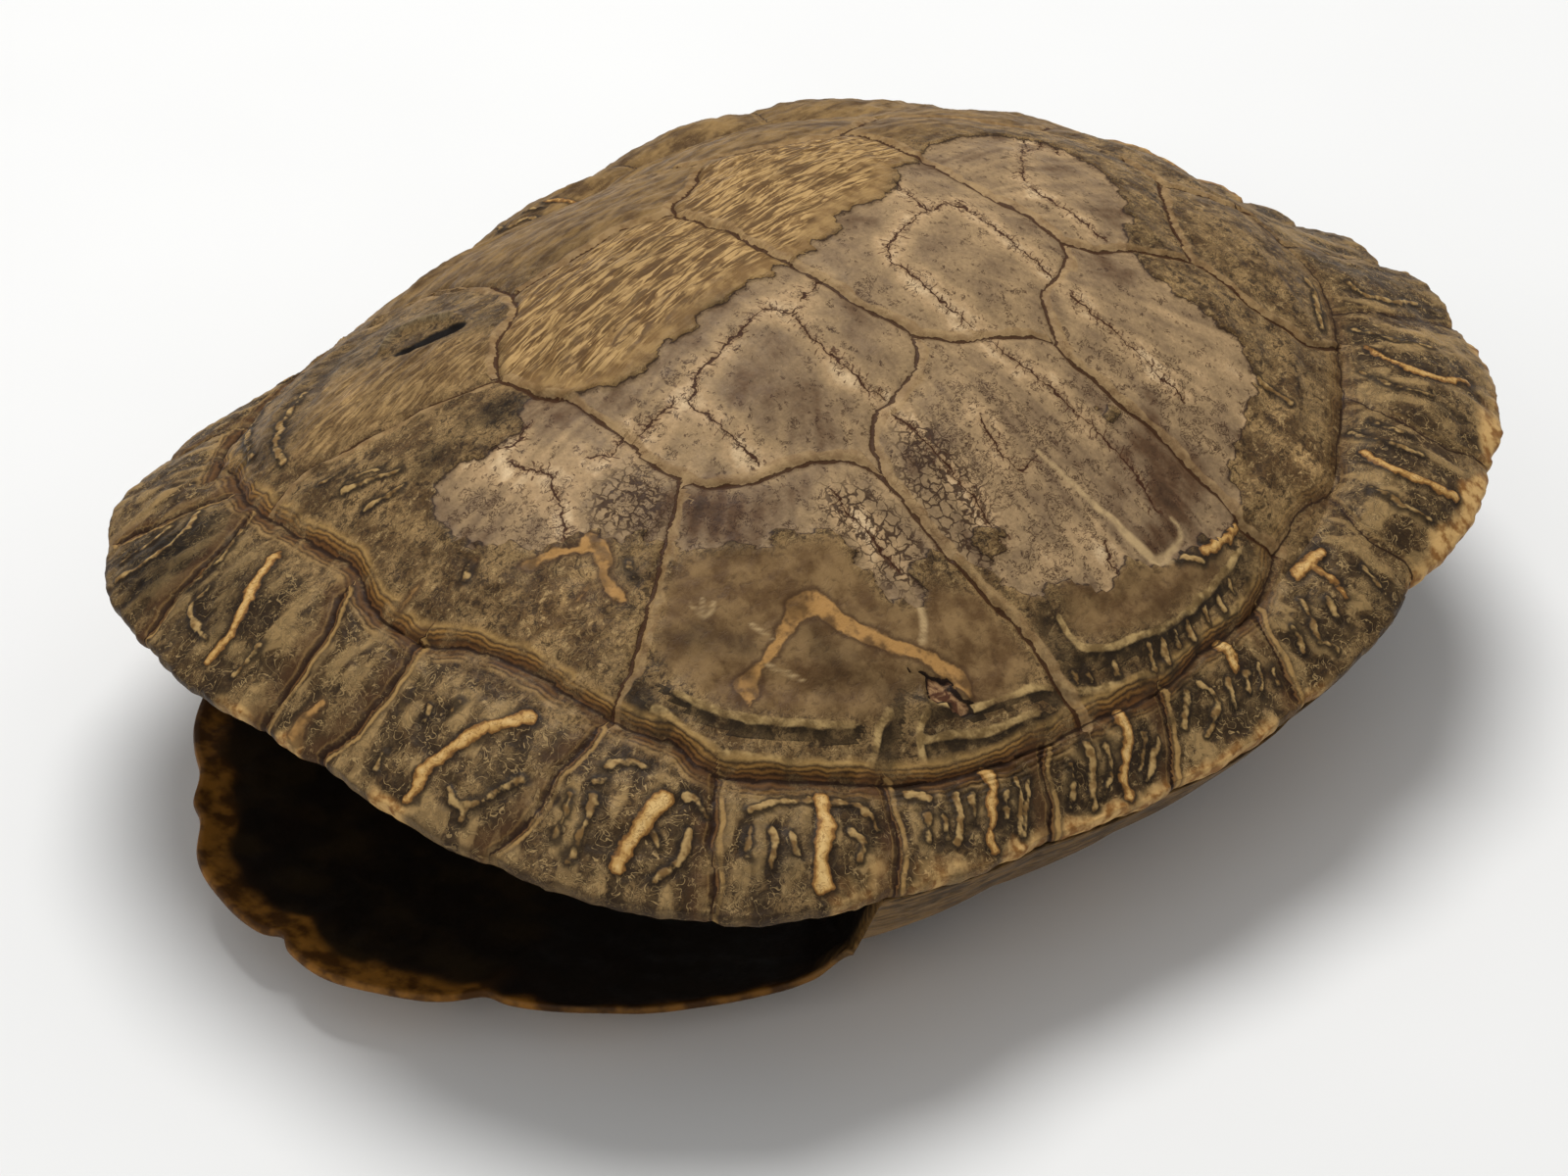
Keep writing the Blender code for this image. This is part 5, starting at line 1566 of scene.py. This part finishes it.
def carapace_material():
    """Horn with its marks over bare bone, from the fields that the corners carry."""
    n = Net("carapace_horn")
    f = {key: n.attribute(key) for key in [*FAR_FIELDS, "under"]}
    curls = n.noise(1.7, 3.0, 0.7, 1.8, n.stretched(0.9, 1.3, 1.0))
    horn, grain, streaks = horn_look(n, f, curls)
    for look in (rim_look, growth_look, bar_look):
        horn = look(n, f, horn)
    bare, crackle, crack = bone_look(n, f, curls)

    # torn edge of the horn: crisp, with a thin shadow on the bone
    edge = n.total(f["bone"], n.sway(1.1, 0.7, 2.0))
    bare = n.over(bare, paint(70, 50, 36), n.fade(edge, 0.0, 0.9, 0.6))
    surface = n.over(horn, bare, n.map(edge, -0.06, 0.06))
    surface = n.over(surface, paint(44, 30, 21), n.map(edge, -0.35, -0.05),
                     n.fade(edge, 0.10, 0.30), 0.75)
    surface, seam = seam_look(n, f, surface)
    surface = damage_look(n, f, surface)

    # inside of the shell: dull brown bone
    inner_bone = n.mix(n.cloud(9.0, 4.0, 0.35, 0.65), paint(62, 48, 36), paint(128, 106, 82))
    surface = n.over(surface, inner_bone, f["under"])

    fine = n.math('SUBTRACT', n.noise(0.8, 2.0, 0.65), n.product(n.map(grain, 0.5, 0.62), 0.5))
    normal = n.bump(fine, 0.10, 0.6)
    normal = n.bump(n.product(streaks, f["gold"]), 0.5, 0.7, normal)
    carved = n.total(crack, n.product(crackle, 0.6), n.product(seam, 0.8))
    normal = n.bump(n.math('SUBTRACT', 1.0, carved), 0.2, 0.8, normal)
    roughness = n.map(n.noise(3.0, 3.0), 0.3, 0.7, 0.45, 0.66, False)
    return n.shown(surface, roughness, normal, Specular_IOR_Level=0.10)


def plastron_material():
    """Inside painted nearly black as shade, with amber edges, tan bridges, and horn with growth
    rings below.
    """
    n = Net("plastron_horn")
    seam, inset, upper, bridge, amber_reach = [
        n.attribute(key) for key in ("seam", "inset", "upper", "bridge", "amber_reach")]
    ragged = n.total(inset, n.sway(11.0, 9.0))
    amber = n.mix(n.cloud(5.0, 3.0, 0.38, 0.64), paint(70, 42, 12), paint(138, 92, 34))
    # upper face, inside the shell: painted shade, nearly black, giving way to amber and tan towards
    # the edge
    above = n.mix(n.noise(6.0, 3.0), (0.004, 0.003, 0.002), (0.014, 0.008, 0.004))
    above = n.over(above, paint(44, 33, 17), n.cloud(13.0, 3.0, 0.42, 0.66),
                   n.map(amber_reach, 0.0, 6.0), 0.8)
    above = n.over(above, paint(60, 38, 14), n.fade(ragged, 1.0, 10.0, 0.7),
                   n.map(amber_reach, 0.0, 4.0))
    above = n.over(above, amber, n.fade(n.math('SUBTRACT', ragged, amber_reach), -2.0, 1.5, 0.95))
    streaked = n.noise(1.0, 4.0, 0.6, 0.6, n.stretched(2.0, 7.0, 1.3))
    tan = n.mix(n.map(streaked, 0.40, 0.62), paint(50, 36, 19), paint(118, 90, 52))
    above = n.over(above, tan, bridge, n.fade(inset, 1.0, 6.0))
    horn = n.mix(n.cloud(18.0, 3.0, 0.35, 0.65), (0.14, 0.075, 0.025), (0.34, 0.20, 0.075))
    horn = n.over(horn, tan, bridge, n.fade(inset, 6.0, 22.0, 0.9))
    horn = n.over(horn, (0.07, 0.035, 0.014),
                  n.map(n.noise(1.6, 3.0, 0.6, 0.5), 0.5, 0.7, 0.0, 0.35))
    horn = n.over(horn, (0.09, 0.048, 0.02), n.map(n.waves(seam, PLATE_RINGS), 0.2, 1.0),
                  n.fade(seam, 2.0, 12.0, 0.3))
    horn = n.over(horn, (0.030, 0.016, 0.008), n.fade(seam, 0.3, 1.2, 0.85))
    horn = n.over(horn, amber, n.fade(inset, 0.5, 4.0, 0.9), n.math('SUBTRACT', 1.0, bridge))
    normal = n.bump(n.noise(1.2, 4.0, 0.6), 0.12, 0.6)
    roughness = n.map(n.noise(3.0, 3.0), 0.3, 0.7, 0.40, 0.6, False)
    return n.shown(n.mix(upper, horn, above), roughness, normal, Specular_IOR_Level=0.12)


# ---------------------------------------------------------------- pieces, light and camera
FLOOR_HALF = 4.0                            # metres, as the lights' places and sizes
STUDIO_STRENGTH = 0.42
LIGHTS_AIM = (0.0, 0.0, 0.05)
LIGHTS = {"key": ((-0.35, 0.25, 1.35), 0.8, 15.5), "front_fill": ((0.3, -1.3, 0.8), 0.8, 2.5)}
CLIP_START, CLIP_END = 0.05, 20.0


def area_light(name, place, size, power):
    data = bpy.data.lights.new(name, 'AREA')
    data.shape = 'DISK'
    data.size = size
    data.energy = power
    light = bpy.data.objects.new(name, data)
    bpy.context.scene.collection.objects.link(light)
    z = np.array(place) - LIGHTS_AIM
    z /= np.linalg.norm(z)
    x = np.cross([0, 1, 0.01], z)
    x /= np.linalg.norm(x)
    turn = Matrix(np.column_stack([x, np.cross(z, x), z]).tolist()).to_4x4()
    light.matrix_world = Matrix.Translation(place) @ turn


def stage():
    """Pale floor, studio light and the camera at the photo's view."""
    scene = bpy.context.scene
    scene.view_settings.view_transform = 'Standard'
    mesh = bpy.data.meshes.new("floor")
    mesh.from_pydata([(x * FLOOR_HALF, y * FLOOR_HALF, 0)
                      for x, y in ((-1, -1), (1, -1), (1, 1), (-1, 1))], [], [(0, 1, 2, 3)])
    floor = bpy.data.objects.new("floor", mesh)
    scene.collection.objects.link(floor)
    n = Net("floor_paper")
    pale = n.mix(n.noise(90.0, 2.0), (0.80, 0.80, 0.79), (0.83, 0.83, 0.82))
    mesh.materials.append(n.shown(pale, 0.7, n.bump(n.noise(1.5), 0.02, 0.2)))

    world = bpy.data.worlds.new("studio")
    world.use_nodes = True
    background = world.node_tree.nodes["Background"]
    background.inputs["Color"].default_value = (1.0, 1.0, 1.0, 1)
    background.inputs["Strength"].default_value = STUDIO_STRENGTH
    scene.world = world
    for name, (place, size, power) in LIGHTS.items():
        area_light(name, place, size, power)

    data = bpy.data.cameras.new("camera")
    data.sensor_width = SENSOR
    data.lens = FOCAL_PIXELS * SENSOR / IMAGE_WIDTH
    data.clip_start, data.clip_end = CLIP_START, CLIP_END
    camera = bpy.data.objects.new("camera", data)
    scene.collection.objects.link(camera)
    camera.matrix_world = Matrix.Translation((EYE * MM).tolist()) \
        @ Matrix(np.column_stack([RIGHT, UP, BACK]).tolist()).to_4x4()
    scene.camera = camera


horn_material = carapace_material()
for piece in (carapace_dome(horn_material), carapace_marginals(horn_material)):
    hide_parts("carapace")
    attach(piece, "root")
plate = plastron(plastron_material())
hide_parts("plastron")
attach(plate, "root")
stage()
